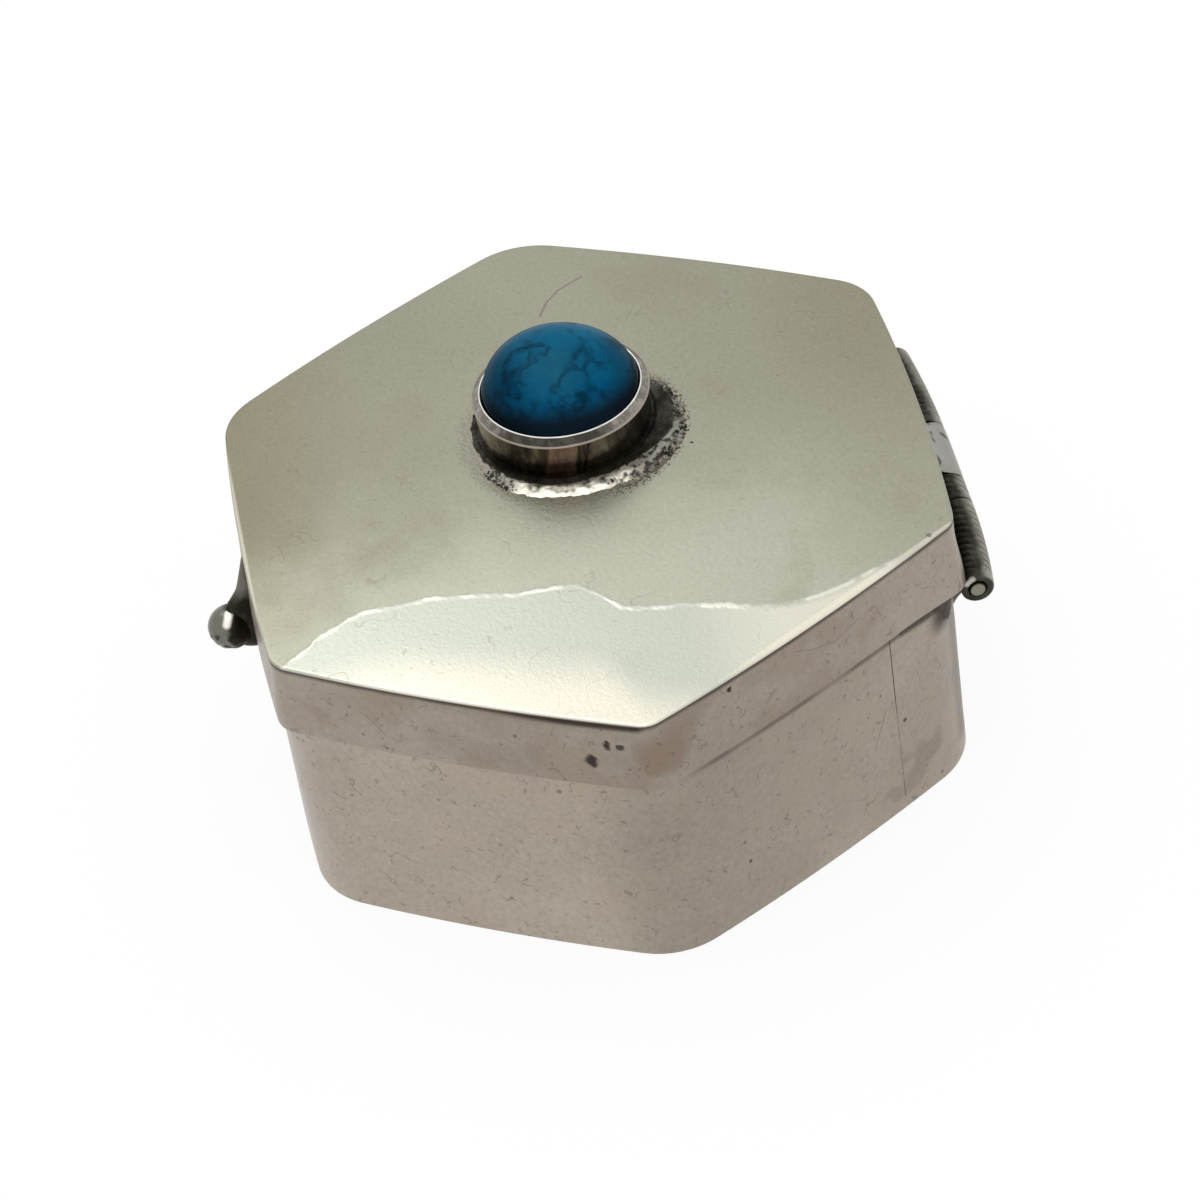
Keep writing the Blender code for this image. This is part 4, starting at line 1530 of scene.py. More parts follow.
        # Each one's name, material, clean colour, colour for soil and painted shade, roughness, unevenness,
        # grit and painted highlights
        rows = (
            ("joint", "joint_solder", (0.40, 0.35, 0.29), (0.05, 0.04, 0.032), 0.34, 0.5, 0.02, ()),
            ("knuckle", "knuckle_silver", (0.42, 0.40, 0.35), black, 0.34, 0.35, 0.02, curl),
            ("pin", "pin_silver", (0.25, 0.235, 0.19), black, 0.34, 0.3, 0.02, ()),
            ("strap", "strap_solder", (0.31, 0.295, 0.27), black, 0.34, 0.5, 0.03, ()),
            # The base webs are dark as patina and as painted shade under the lid
            ("dark_strap", "web_solder", (0.12, 0.10, 0.08), black, 0.34, 0.7, 0.03, ()),
            # The collar's light colour is a painted highlight, kept only on its front
            ("collar", "collar_solder", (0.86, 0.83, 0.71), (0.019, 0.015, 0.011), 0.3, 0.22, 0.03, ()),
            ("crumb", "crumb_solder", (0.42, 0.40, 0.33), (0.04, 0.034, 0.027), 0.4, 2.6, 0.02, ()),
            ("ball", "ball_silver", (0.17, 0.165, 0.138), black, 0.2, 0.4, 0.010, painted_glints),
            ("foot", "foot_silver", (0.15, 0.14, 0.118), black, 0.3, 0.7, 0.02, ()),
        )
        finishes = {}
        for name, label, clean, soil_and_shade, rough, uneven, grit, bright in rows:
            finishes[name] = DarkSilver(
                label, clean=clean, soil_and_shade=soil_and_shade, roughness=rough, uneven=uneven, grit=grit, painted_glints=bright
            )
        return finishes


@dataclass
class BoxBase:
    """The deep base: floor, bent wall, its joint and the bearer that guides the lid."""

    finishes: Finishes
    flat: float = 16.8 * mm
    corner_radius: float = 4.1 * mm
    floor_top: float = 0.84 * mm
    floor_round: float = 0.08 * mm
    rim: float = 11.57 * mm
    joint: Joint = (0, 4.85 * mm, 0.05 * mm)
    joint_recess: float = 0.02 * mm
    bearer_inset: float = 0.69 * mm
    bearer_thickness: float = 0.58 * mm
    bearer_span: tuple[float, float] = (8.8 * mm, 12.8 * mm)
    outline: HexagonOutline = field(init=False)

    def __post_init__(self) -> None:
        """Draw the outline."""
        self.outline = HexagonOutline(self.flat, (self.corner_radius,) * 6)

    def _floor_soil(self, points: Array) -> Array:
        """Soil that gathers in the corner inside and at the outer edge below.

        Args:
            points: Places on it, in metres.

        Returns:
            The soil at each, from 0 to 1.
        """
        x, y, z = in_mm(points)
        reach = np.hypot(x, y)
        inside = smooth(reach, 14.2, 16.6) * smooth(z, 0.825, 0.838)
        return 0.45 * inside + 0.12 * smooth(z, 0.10, 0.0) * smooth(reach, 15.0, 12.0)

    def _wall_soil_and_shade(self, points: Array) -> Array:
        """Painted shadow under the lid's lip on the hinge's side of the box, and patina with painted shade in
        the crevices by the hinge.

        Args:
            points: Places on it, in metres.

        Returns:
            The soil and painted shade at each, from 0 to 1.
        """
        x, y, z = in_mm(points)
        # Painted shadow in a line under the lid's lip
        lip = 0.75 * smooth(z, 11.00, 11.22) * smooth(y, 0.5, 4.0)
        # Patina and painted shade behind the hinge and at the corner by it
        hinge = smooth(y, 16.4, 16.8) * smooth(z, 8.6, 10.4) * smooth(np.abs(x), 10.4, 9.2)
        rag = ragged(points, 2.2 * mm, 9.0)
        corner = smooth(np.hypot(x - 9.6, y - 16.3), 1.9, 0.7) * smooth(z + 0.8 * rag, 9.6, 10.9)
        return np.clip(lip * rag * 1.3 + 0.9 * hinge * (0.5 + 0.8 * rag) + 0.95 * corner, 0.0, 1.0)

    def _rim_soil(self, points: Array) -> Array:
        """Soil on the bearer, most where it meets the wall.

        Args:
            points: Places on it, in metres.

        Returns:
            The soil at each, from 0 to 1.
        """
        z = points[..., 2] / mm
        rag = ragged(points, 1.8 * mm, 4.0)
        return np.clip(0.5 * smooth(z, 11.9, 11.55) * rag + 0.25 * smooth(z, 9.3, 8.8), 0.0, 1.0)

    def build(self) -> None:
        """Build and dress the base."""
        plate = SheetPlate(0.0, self.floor_top, 0.02 * mm, self.floor_round, rows=30)

        def even(points: Array) -> Array:
            """The floor's slight dishing."""
            return 0.012 * mm * ragged(points, 8.0 * mm, 2.0)

        floor = plate.draft(self.outline.closed(), even, self._floor_soil)
        settle(floor.piece("base_floor_sheet", self.finishes.sheet), Body.BASE, ["base_floor"])
        edges = {"lower_edge": 0.02 * mm, "upper_edge": 0.04 * mm}
        strip = BentStrip(0.82 * mm, self.rim, rows=64, fade_low=1.6 * mm, seed=1.0, **edges)
        wall = strip.draft(self.outline.opened(*self.joint), False, self._wall_soil_and_shade)
        settle(wall.piece("base_wall_strip", self.finishes.base_wall), Body.BASE, ["base_wall"])

        def aged(points: Array) -> Array:
            """The joint's soil, black at its top and clean lower down."""
            return 0.95 * smooth(points[..., 2] / mm + 1.5 * waves(points, 1.5 * mm, 3.0), 4.5, 7.5)

        span = (0.83 * mm, self.rim - 0.03 * mm)
        edges |= {"recess": self.joint_recess, "fade_low": 0.5 * mm}
        fill = seam(self.outline, self.joint, span, aged, **edges)
        fill = fill.piece("base_joint_seam", self.finishes.joint)
        settle(fill, Body.BASE, ["base_joint_solder"])
        inner = self.outline.inset(self.bearer_inset)
        edges = {"lower_edge": 0.08 * mm, "upper_edge": 0.14 * mm, "dent": 0.02 * mm}
        collar = BentStrip(*self.bearer_span, thickness=self.bearer_thickness, rows=24, seed=6.0, **edges)
        bearer = collar.draft(inner.closed(), True, self._rim_soil)
        bearer = bearer.piece("base_bearer_strip", self.finishes.inside)
        settle(bearer, Body.BASE, ["base_bearer"])


@dataclass
class BoxLid:
    """The shallow lid: a soft-edged plate on a bent wall."""

    finishes: Finishes
    flat: float = 17.0 * mm
    corner_radii: tuple[float, ...] = (1.2 * mm, 1.3 * mm, 3.0 * mm, 4.2 * mm, 3.4 * mm, 1.8 * mm)
    top: float = 16.0 * mm
    underside: float = 15.28 * mm
    edge_round: float = 0.09 * mm
    wall_top: float = 15.70 * mm
    rim: float = 11.6 * mm
    joint: Joint = (1, 0.5 * mm, 0.10 * mm)
    joint_recess: float = 0.05 * mm
    droop: float = 0.07 * mm
    ripple: float = 0.018 * mm
    outline: HexagonOutline = field(init=False)

    def __post_init__(self) -> None:
        """Draw the outline."""
        self.outline = HexagonOutline(self.flat, self.corner_radii)

    def sag(self, points: Array) -> Array:
        """How far the handmade plate lies under its true height.

        Args:
            points: Places on the plate.

        Returns:
            The sag at each, never negative.
        """
        flat = points.copy()
        flat[..., 2] = self.top
        x, y = flat[..., 0] / mm, flat[..., 1] / mm
        front = smooth(x + 0.006 * y * y, 5.0, 19.0)
        rear = 0.5 * smooth(-x, 9.0, 18.0)
        return self.droop * (front + rear) + self.ripple * (1.0 + waves(flat, 7.5 * mm, 3.0))

    def _plate_shade_and_soil(self, points: Array) -> Array:
        """Painted shade in a dark line under the plate's edge, and soil inside the lid.

        Args:
            points: Places on it, in metres.

        Returns:
            The painted shade and soil at each, from 0 to 1.
        """
        x, y, z = in_mm(points)
        rag = ragged(points, 1.2 * mm, 8.0)
        # Painted shade: a thin dark line under the plate's edge
        line = smooth(z, 15.83, 15.77) * smooth(z, 15.6, 15.7) * (0.72 + 0.4 * rag)
        inner = 0.3 * smooth(z, 15.4, 15.3) * rag * smooth(np.hypot(x, y), 13.0, 16.0)
        return np.clip(line + inner, 0.0, 1.0)

    def _wall_soil_and_shade(self, points: Array) -> Array:
        """Painted shade under the plate's edge, darkening low down by the hinge, and painted shade with
        tarnish behind the thumb-piece.

        Args:
            points: Places on it, in metres.

        Returns:
            The soil and painted shade at each, from 0 to 1.
        """
        x, y, z = in_mm(points)
        rag = ragged(points, 1.4 * mm, 5.0)
        # Painted shade: a line under the plate's edge, and a wider band under it towards the front corner
        line = smooth(z, 15.50, 15.66) * (0.35 + 0.5 * rag)
        shade = 0.80 * smooth(z, 15.28, 15.52) * smooth(y, -8.0, -3.0) * smooth(y, -0.1, -0.7)
        shade += 0.10 * smooth(z, 14.9, 15.5) * smooth(y, -13.0, -8.0) * smooth(y, -1.0, -3.0)
        hinge = smooth(y, 16.9, 17.2) * smooth(np.abs(x), 9.4, 8.8) * smooth(z, 14.6, 12.2)
        # Painted shade with tarnish behind the thumb-piece
        thumb = smooth(-y, 16.6, 16.9) * smooth(np.hypot(x, 0.55 * (z - 12.6)), 2.1, 0.9)
        return np.clip(line + shade + 0.75 * hinge * (0.4 + rag) + 0.9 * thumb, 0.0, 1.0)

    def _flared(self, points: Array) -> Array:
        """The wall pushed outwards low by the hinge's near end and behind the thumb-piece.

        Args:
            points: Places on it, in metres.

        Returns:
            The places moved.
        """
        away = np.hypot(points[..., 0] - 9.3 * mm, points[..., 1] - 17.3 * mm)
        lower = smooth(points[..., 2], 15.2 * mm, self.rim)
        push = 0.35 * mm * smooth(away, 4.0 * mm, 0.3 * mm) * lower
        left = 0.22 * mm * smooth(-points[..., 1], 15.6 * mm, 16.9 * mm) * lower
        out, back = np.array([0.25, 0.97, 0.0]), np.array([0.0, 1.0, 0.0])
        return points + push[..., None] * out - left[..., None] * back

    def build(self) -> None:
        """Build and dress the lid."""
        rabbet = self.wall_top + 0.01 * mm - self.underside
        edge = {"rabbet": rabbet, "flange": 0.76 * mm}
        sheet = SheetPlate(self.underside, self.top, self.edge_round, 0.01 * mm, **edge)
        plate = sheet.draft(self.outline.closed(), self.sag, self._plate_shade_and_soil)
        settle(plate.piece("lid_plate_sheet", self.finishes.lid), Body.LID, ["lid_plate"])
        edges = {"lower_edge": 0.05 * mm, "upper_edge": 0.01 * mm, "fade_high": 0.8 * mm}
        strip = BentStrip(self.rim, self.wall_top, rows=44, dent_length=4.5 * mm, seed=2.0, **edges)
        wall = strip.draft(self.outline.opened(*self.joint), False, self._wall_soil_and_shade)
        wall.bend(self._flared)
        settle(wall.piece("lid_wall_strip", self.finishes.lid_wall), Body.LID, ["lid_wall"])
        span = (self.rim + 0.03 * mm, self.wall_top - 0.01 * mm)
        edges = {"lower_edge": 0.04 * mm, "upper_edge": 0.02 * mm, "recess": self.joint_recess}
        fill = seam(self.outline, self.joint, span, **edges)
        settle(fill.piece("lid_joint_seam", self.finishes.joint), Body.LID, ["lid_joint_solder"])


@dataclass
class Hinge:
    """Three ribbed knuckles on a wire pin, held by webs of solder."""

    finishes: Finishes
    tube: RibbedTube = field(default_factory=RibbedTube)
    pitch: float = 6.1 * mm
    pin_radius: float = 0.405 * mm
    pin_length: float = 18.4 * mm
    base_face: float = 17.096 * mm
    lid_face: float = 17.3 * mm
    bow_radius: float = 120.0 * mm
    # How fast the outer knuckles lean towards the wall past the middle one, to the metre
    far_bow: float = 9.0
    near_bow: float = 12.0
    far_extra: float = 0.4 * mm
    base_strap: tuple[float, float] = (3.25 * mm, 7.95 * mm)
    lid_strap: tuple[float, float] = (-2.98 * mm, 1.20 * mm)
    bite: float = 0.05 * mm
    end_fade: float = 1.1 * mm
    stations: int = 72

    def _wall(self, face: float, x: float) -> float:
        """How far out the bowed wall's face lies at x."""
        return face - x * x / (2.0 * self.bow_radius)

    def _knuckle_arc(self, start: float, end: float, radius: float, count: int) -> Array:
        """Points (y, z) round the hinge's axis, angles in degrees from +Y."""
        turns = np.radians(np.linspace(start, end, count))
        return np.stack([hinge_axis.y + radius * np.cos(turns), hinge_axis.z + radius * np.sin(turns)], -1)

    def _curve(self, toe: Array, control: Array, end: Array, count: int) -> Array:
        """The solder's face: count points from the toe on the wall towards the knuckle, its end left out."""
        share = np.linspace(0.0, 1.0, count)[:-1, None]
        return (1 - share) ** 2 * toe + 2 * share * (1 - share) * control + share**2 * end

    def _base_section(self, x: float, fill: float, rag: float) -> Array:
        """One cut through a base web.

        Args:
            x: Where along the hinge.
            fill: How much solder there is, from 0 to 1.
            rag: The edge's unevenness, from -1 to 1.

        Returns:
            The closed section's (y, z) points.
        """
        wall = self._wall(self.base_face, x)
        toe = np.array([wall + 0.03 * mm, (9.75 - 1.2 * fill + 0.12 * rag) * mm])
        touch = -150.0 + (90.0 + 8.0 * rag) * fill
        arc = self._knuckle_arc(touch, -182.0, self.tube.radius - 0.06 * mm, 14)
        control = np.array([wall + (0.10 + 0.28 * fill) * mm, 0.5 * (toe[1] + arc[0, 1]) + 0.1 * mm])
        bend = self._curve(toe, control, arc[0], 15)
        back = wall - self.bite
        top = np.array([[wall + 0.05 * mm, 11.05 * mm], [back, 11.08 * mm]])
        rise = np.stack([np.full(8, back), np.linspace(11.0 * mm, toe[1] + 0.03 * mm, 8)], -1)
        return np.vstack([bend, arc, top, rise])[::-1]

    def _lid_section(self, x: float, fill: float, rag: float) -> Array:
        """One cut through the lid's web, which floods the knuckle's outer side.

        Args:
            x: Where along the hinge.
            fill: How much solder there is, from 0 to 1.
            rag: The edge's unevenness, from -1 to 1.

        Returns:
            The closed section's (y, z) points.
        """
        wall = self._wall(self.lid_face, x)
        toe = np.array([wall + 0.02 * mm, (12.9 + 2.35 * fill + 0.12 * rag) * mm])
        leave = 118.0 - (58.0 + 6.0 * rag) * fill
        skin = self._knuckle_arc(leave, 4.0 + 40.0 * (1.0 - fill), self.tube.radius + 0.008 * mm * fill, 16)
        under = self._knuckle_arc(2.0 + 40.0 * (1.0 - fill), 178.0, self.tube.radius - 0.10 * mm, 14)
        control = np.array([wall + (0.16 + 0.16 * fill) * mm, skin[0, 1] + 0.55 * mm])
        bend = self._curve(toe, control, skin[0], 56)
        back = wall - self.bite
        rise = np.stack([np.full(8, back), np.linspace(11.7 * mm, toe[1] - 0.03 * mm, 8)], -1)
        return np.vstack([bend, skin, under, rise])

    def _web(self, span: tuple[float, float], section: Callable[..., Array], seed: float) -> Draft:
        """Loft a web along the hinge.

        Args:
            span: Where it starts and ends.
            section: Gives the cut at a place.
            seed: Which unevenness it has.

        Returns:
            The web's draft.
        """
        start, end = span
        rings = []
        for x in np.linspace(start, end, self.stations):
            near = min(x - start, end - x) / self.end_fade
            share = min(max(near, 0.0), 1.0)
            fill = math.sqrt(1.0 - (1.0 - share) ** 2)
            rag = wave((x, 0.0, 0.0), 0.9 * mm, seed)
            ring = section(float(x), fill, rag)
            rings.append(np.column_stack([np.full(len(ring), x), ring]))
        points = np.array(rings)
        gap = np.abs(points[..., 1] - self.base_face) / mm
        spots = smooth(waves(points, 0.7 * mm, seed + 2.0), 0.25, 0.45)
        soil_and_shade = np.clip(0.45 * smooth(gap, 0.30, 0.10) + 0.7 * spots, 0.0, 1.0)
        draft = Draft()
        draft.loft(points, soil_and_shade)
        return draft

    def build(self) -> None:
        """Build and dress the hinge."""
        tree = self.tube.tree()
        length, far_middle = self.tube.length, -self.pitch - 0.5 * self.far_extra
        places = (
            ("far", far_middle, length + self.far_extra, Body.BASE, 3.0, self.far_bow),
            ("centre", 0.0, length, Body.LID, 17.0, 0.0),
            ("near", self.pitch, length, Body.BASE, 31.0, self.near_bow),
        )
        for name, x, length, body, seed, bow in places:
            centre = tuple(hinge_axis + Vector((x, 0.0, 0.0)))
            values = {"Centre": centre, "Length": length, "Seed": seed, "Bow": bow}
            values |= {"Material": self.finishes.knuckle}
            knuckle = self.tube.knuckle(tree, "hinge_tube_" + name, values)
            settle(knuckle, body, ["hinge_knuckle_" + name])
        start, end = self.base_strap
        webs = (
            ("near", (start, end), self._base_section, Body.BASE, 5.0, self.finishes.dark_strap),
            ("far", (-end, -start), self._base_section, Body.BASE, 8.0, self.finishes.dark_strap),
            ("centre", self.lid_strap, self._lid_section, Body.LID, 2.0, self.finishes.strap),
        )
        for name, span, section, body, seed, finish in webs:
            web = self._web(span, section, seed).piece("hinge_web_" + name, finish, 60.0)
            settle(web, body, ["hinge_strap_" + name])
        self._pin()

    def _along_hinge(self, net: Array) -> Array:
        """Points turned from +Z to the hinge's axis, bowed as the outer knuckles are.

        Args:
            net: Places on it, in metres.

        Returns:
            The places moved.
        """
        moved = np.roll(net, 1, axis=-1) + np.array(hinge_axis)
        past = np.clip(np.abs(moved[:, 0]) - self.tube.straight, 0.0, None)
        moved[:, 1] -= past**2 * np.where(moved[:, 0] > 0.0, self.near_bow, self.far_bow)
        return moved

    def _pin(self) -> None:
        """The wire pin, its ends filed flat and lightly burred."""
        half, radius = 0.5 * self.pin_length, self.pin_radius
        profile = [(0.0, -half)]
        profile += [(radius * share, -half + 0.02 * mm * share**2) for share in (0.3, 0.6, 0.82)]
        profile += [(radius * 0.94, -half + 0.03 * mm), (radius, -half + 0.08 * mm)]
        upper = [(r, -z) for r, z in reversed(profile)]
        middle = [(radius, z * half) for z in np.linspace(-0.9, 0.9, 19)]
        points = np.array(profile + middle + upper)
        wobble = np.where(points[:, 0] > 0.5 * radius, 0.02 * mm, 0.0)
        wobble[len(profile) : len(profile) + len(middle)] = 0.0
        rows = np.column_stack([points, wobble])
        soil_and_shade = smooth(points[:, 0] / radius, 0.80, 0.98)
        draft = turned(rows, (0.0, 0.0, 0.0), 28, soil_and_shade)
        draft.bend(self._along_hinge)
        pin = draft.piece("hinge_wire", self.finishes.pin, 50.0)
        settle(pin, Body.BASE, ["hinge_pin"])


@dataclass
class Setting:
    """The stone in its bezel, on an uneven collar of solder."""

    finishes: Finishes
    centre: Vector = field(default_factory=lambda: Vector((-3.8, 0.15, 0.0)) * mm)
    lid_top: float = 16.0 * mm
    bezel_radius: float = 4.38 * mm
    flare: float = 0.09 * mm
    shoulder: float = 17.95 * mm
    bezel_top: float = 18.35 * mm
    bore: float = 4.05 * mm
    rim_thickness: float = 0.11 * mm
    stone_radius: float = 4.0 * mm
    girdle: float = 17.75 * mm
    dome: float = 3.05 * mm
    fullness: float = 2.25
    lean: float = 0.2 * mm
    stone_foot: float = 16.5 * mm
    stone_gap: float = 0.03 * mm
    collar_height: float = 0.24 * mm
    # How far the collar and its dark band, part oxide and part painted reflection, reach from the bezel in
    # millimetres, by degrees from +X
    collar_edge: tuple[tuple[float, float], ...] = (
        (-180, 0.40), (-150, 0.50), (-119, 0.56), (-99, 0.50), (-76, 0.56), (-55, 1.10),
        (-40, 1.55), (-30, 1.50), (-14, 1.62), (6, 1.62), (18, 1.62), (31, 1.98),
        (51, 1.95), (66, 1.90), (82, 1.50), (101, 1.10), (115, 0.80), (150, 0.50),
    )
    band_edge: tuple[tuple[float, float], ...] = (
        (-180, 0.38), (-119, 0.54), (-92, 0.48), (-59, 0.66), (-40, 0.80), (-26, 0.90), (-11, 0.90),
        (5, 0.84), (19, 0.84), (39, 0.95), (56, 1.30), (75, 1.38), (95, 1.12), (115, 0.78), (150, 0.45),
    )
    steps: int = 192

    def _dome_at(self, height: float, spread: float = 0.0) -> float:
        """Radius of the stone, or of a shell that stands off it, at a height."""
        share = min(max((height - self.girdle) / self.dome, 0.0), 1.0)
        return self.stone_radius * (1.0 - share**self.fullness) ** (1.0 / self.fullness) + spread

    def _bezel(self) -> None:
        """The bezel strip, its rim rubbed down over the stone."""
        outer, top = self.bezel_radius, self.bezel_top
        wide = outer + self.flare
        lip = self._dome_at(top, self.stone_gap)
        climb = self.shoulder - 0.06 * mm - self.lid_top
        shares = np.linspace(0.0, 1.0, 16)
        rise = [(outer + self.flare * share**3, self.lid_top + climb * share) for share in shares]
        shoulder = [
            (wide + 0.008 * mm, self.shoulder - 0.03 * mm),
            (wide - 0.005 * mm, self.shoulder),
            (wide - 0.045 * mm, self.shoulder + 0.025 * mm),
            (wide - 0.075 * mm, self.shoulder + 0.07 * mm),
        ]
        rim_outer = lip + self.rim_thickness
        foot_out, foot_up = shoulder[-1]
        way_in, way_up = rim_outer - wide + 0.11 * mm, top - self.shoulder - 0.14 * mm
        slope = [(foot_out + way_in * share, foot_up + way_up * share) for share in (0.33, 0.66, 1.0)]
        crown = [
            (rim_outer - 0.01 * mm, top - 0.03 * mm),
            (rim_outer - 0.05 * mm, top - 0.006 * mm),
            (lip + 0.07 * mm, top),
            (lip + 0.03 * mm, top - 0.012 * mm),
            (lip, top - 0.05 * mm),
        ]
        heights = np.linspace(top - 0.12 * mm, self.girdle, 4)
        foot = self.lid_top - 0.06 * mm
        inside = [(self._dome_at(height, self.stone_gap), height) for height in heights]
        inside += [(self.bore, self.girdle - 0.2 * mm), (self.bore, self.lid_top)]
        inside += [(self.bore + 0.1 * mm, foot), (outer - 0.1 * mm, foot)]
        points = np.array(rise + shoulder + slope + crown + inside)
        shape = len(rise) + len(shoulder) + len(slope) + len(crown)
        wobble = np.full(len(points), 0.03 * mm)
        wobble[shape:] = 0.0
        soil_and_shade = np.zeros(len(points))
        soil_and_shade[: len(rise)] = np.linspace(1.0, 0.0, len(rise)) ** 14
        soil_and_shade[shape - 1 :] = 0.9
        draft = turned(np.column_stack([points, wobble]), (*self.centre.xy, 0.0), self.steps, soil_and_shade)
        bezel = draft.piece("bezel_strip", self.finishes.bezel, 55.0)
        settle(bezel, Body.LID, ["bezel_wall"])

    def _stone(self) -> None:
        """The domed stone with its flat foot."""
        edge = 0.25 * mm
        profile = [(radius, self.stone_foot) for radius in (0.0, 2.4 * mm, self.stone_radius - edge)]
        profile += [(self.stone_radius, self.stone_foot + edge), (self.stone_radius, self.girdle)]
        for turn in np.radians(np.linspace(2.0, 90.0, 45)):
            wide, high = (max(part(turn), 0.0) ** (2.0 / self.fullness) for part in (math.cos, math.sin))
            profile.append((self.stone_radius * wide, self.girdle + self.dome * high))
        profile[-1] = (0.0, self.girdle + self.dome)
        draft = turned(np.array(profile), (*self.centre.xy, 0.0), 128)

        def ground(net: Array) -> Array:
            """The dome as a hand grinds it, its top off centre and its sides a little uneven.

            Args:
                net: Places on it, in metres.

            Returns:
                The places moved.
            """
            away = net - np.array([*self.centre.xy, self.girdle])
            upper = smooth(net[:, 2], self.girdle, self.girdle + 1.2 * mm)
            upper = upper * smooth(np.hypot(away[:, 0], away[:, 1]), 0.0, 1.0 * mm)
            push = 0.02 * mm * (1.0 + waves(net, 2.6 * mm, 6.0)) * upper
            moved = net - away / np.linalg.norm(away, axis=1, keepdims=True) * push[:, None]
            moved[:, 1] -= self.lean * smooth(away[:, 2], 0.25 * self.dome, self.dome)
            return moved

        draft.bend(ground)
        stone = draft.piece("cabochon_dome", self.finishes.stone)
        settle(stone, Body.LID, ["cabochon"])

    def _round(self, measured: tuple[tuple[float, float], ...], turns: Array) -> Array:
        """A value measured at some degrees from +X towards +Y, read at angles in radians."""
        places, values = zip(*measured)
        return np.interp(np.degrees(turns), places, values, period=360.0)

    def _collar(self, sag: Skin) -> Piece:
        """The ragged pool of solder round the bezel's foot, with a dark band of oxide and painted reflection,
        and a painted highlight on its front slope.

        Args:
            sag: How far the lid's plate lies under its true height.

        Returns:
            The collar.
        """
        turns = np.linspace(0.0, 2.0 * math.pi, 2 * self.steps, endpoint=False)
        inner = self.bezel_radius - 0.10 * mm
        circle = np.stack([np.cos(turns), np.sin(turns), np.zeros_like(turns)], -1)
        circle = circle * (self.bezel_radius + 1.4 * mm)
        rag = waves(circle, 1.1 * mm, 4.0) * 0.10 + waves(circle, 0.42 * mm, 7.0) * 0.10
        rag = rag + waves(circle, 0.18 * mm, 9.0) * 0.06
        reach = self.bezel_radius + (np.maximum(self._round(self.collar_edge, turns) + rag, 0.15)) * mm
        shares = np.linspace(0.0, 1.0, 34)
        radius = inner + (reach[:, None] - inner) * shares[None, :]
        points = np.zeros((len(turns), len(shares), 3))
        points[..., 0] = self.centre.x + np.cos(turns)[:, None] * radius
        points[..., 1] = self.centre.y + np.sin(turns)[:, None] * radius
        points[..., 2] = self.lid_top
        gap = (radius - self.bezel_radius) / mm
        band = self._round(self.band_edge, turns)[:, None]
        groove = smooth(gap, 0.05, 0.28)
        edge = smooth((reach[:, None] - radius) / mm, 0.0, 0.75)
        rough = waves(points, 0.5 * mm, 12.0) * 0.05 + waves(points, 0.2 * mm, 15.0) * 0.035
        height = (0.35 + 0.65 * groove) * edge * (0.75 + 0.25 * smooth(gap, 0.2 * band, 0.9 * band))
        height = np.clip(height + rough * edge, 0.02, 1.0)
        low = self.lid_top - sag(points)
        points[..., 2] = low - 0.012 * mm + self.collar_height * height * 0.97
        noise_band = 0.12 * waves(points, 0.7 * mm, 21.0) + 0.06 * waves(points, 0.25 * mm, 22.0)
        # The dark band next to the bezel: oxide with a painted reflection of the bezel
        soil_and_shade = 0.97 * smooth(gap + noise_band, 1.02 * band, 0.80 * band)
        round_place = (np.degrees(turns)[:, None] + 180.0) % 360.0 - 180.0
        # Painted highlight: only the front of the collar keeps its light colour; elsewhere its outer part is
        # darker
        bright = smooth(np.abs(round_place + 6.0), 36.0, 22.0)
        gritty = smooth(round_place, 8.0, 28.0) * smooth(round_place, 128.0, 105.0)
        gritty = np.maximum(gritty, smooth(np.abs(round_place + 48.0), 16.0, 6.0))
        soil_and_shade = np.maximum(soil_and_shade, 0.68 * (1.0 - bright) * smooth(gap, 0.5 * band, band))
        inner = smooth((reach[:, None] - radius) / mm + 2.0 * noise_band, 0.30, 0.46)
        grey = 0.62 + 0.5 * waves(points, 0.22 * mm, 28.0)
        soil_and_shade = np.maximum(soil_and_shade, grey * inner * bright)
        crust = smooth(waves(points, 0.30 * mm, 25.0) + 0.5 * waves(points, 0.14 * mm, 27.0), 0.0, 0.25)
        soil_and_shade = np.clip(np.maximum(soil_and_shade, crust * (0.95 * gritty + 0.25 * bright)), 0.0, 1.0)
        sunk = points.copy()
        sunk[..., 2] = self.lid_top - 0.16 * mm
        clean = np.zeros_like(soil_and_shade)
        draft = Draft()
        both = np.concatenate([points[:, ::-1], sunk], 1)
        draft.grid(both, True, True, np.concatenate([soil_and_shade[:, ::-1], clean], 1))
        collar = draft.piece("bezel_solder_pool", self.finishes.collar, 60.0)
        patch = smooth(edge, 0.98, 0.5) * gritty
        share = np.concatenate([patch[:, ::-1], clean], 1)
        collar.data.attributes.new("crumbs", "FLOAT", "POINT").data.foreach_set("value", share.ravel())
        return settle(collar, Body.LID, ["bezel_solder"])

    def build(self, sag: Skin) -> None:
        """Build and dress the setting.

        Args:
            sag: How far the lid's plate lies under its true height.
        """
        self._bezel()
        self._stone()
        collar = self._collar(sag)
        crumbs = SolderCrumbs().scatter("bezel_solder_crumbs", collar, self.finishes.crumb)
        settle(crumbs, Body.LID)
        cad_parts["stone_bearer"].material_slots[0].material = self.finishes.inside
        log.info("stone_bearer: kept from the packed model")


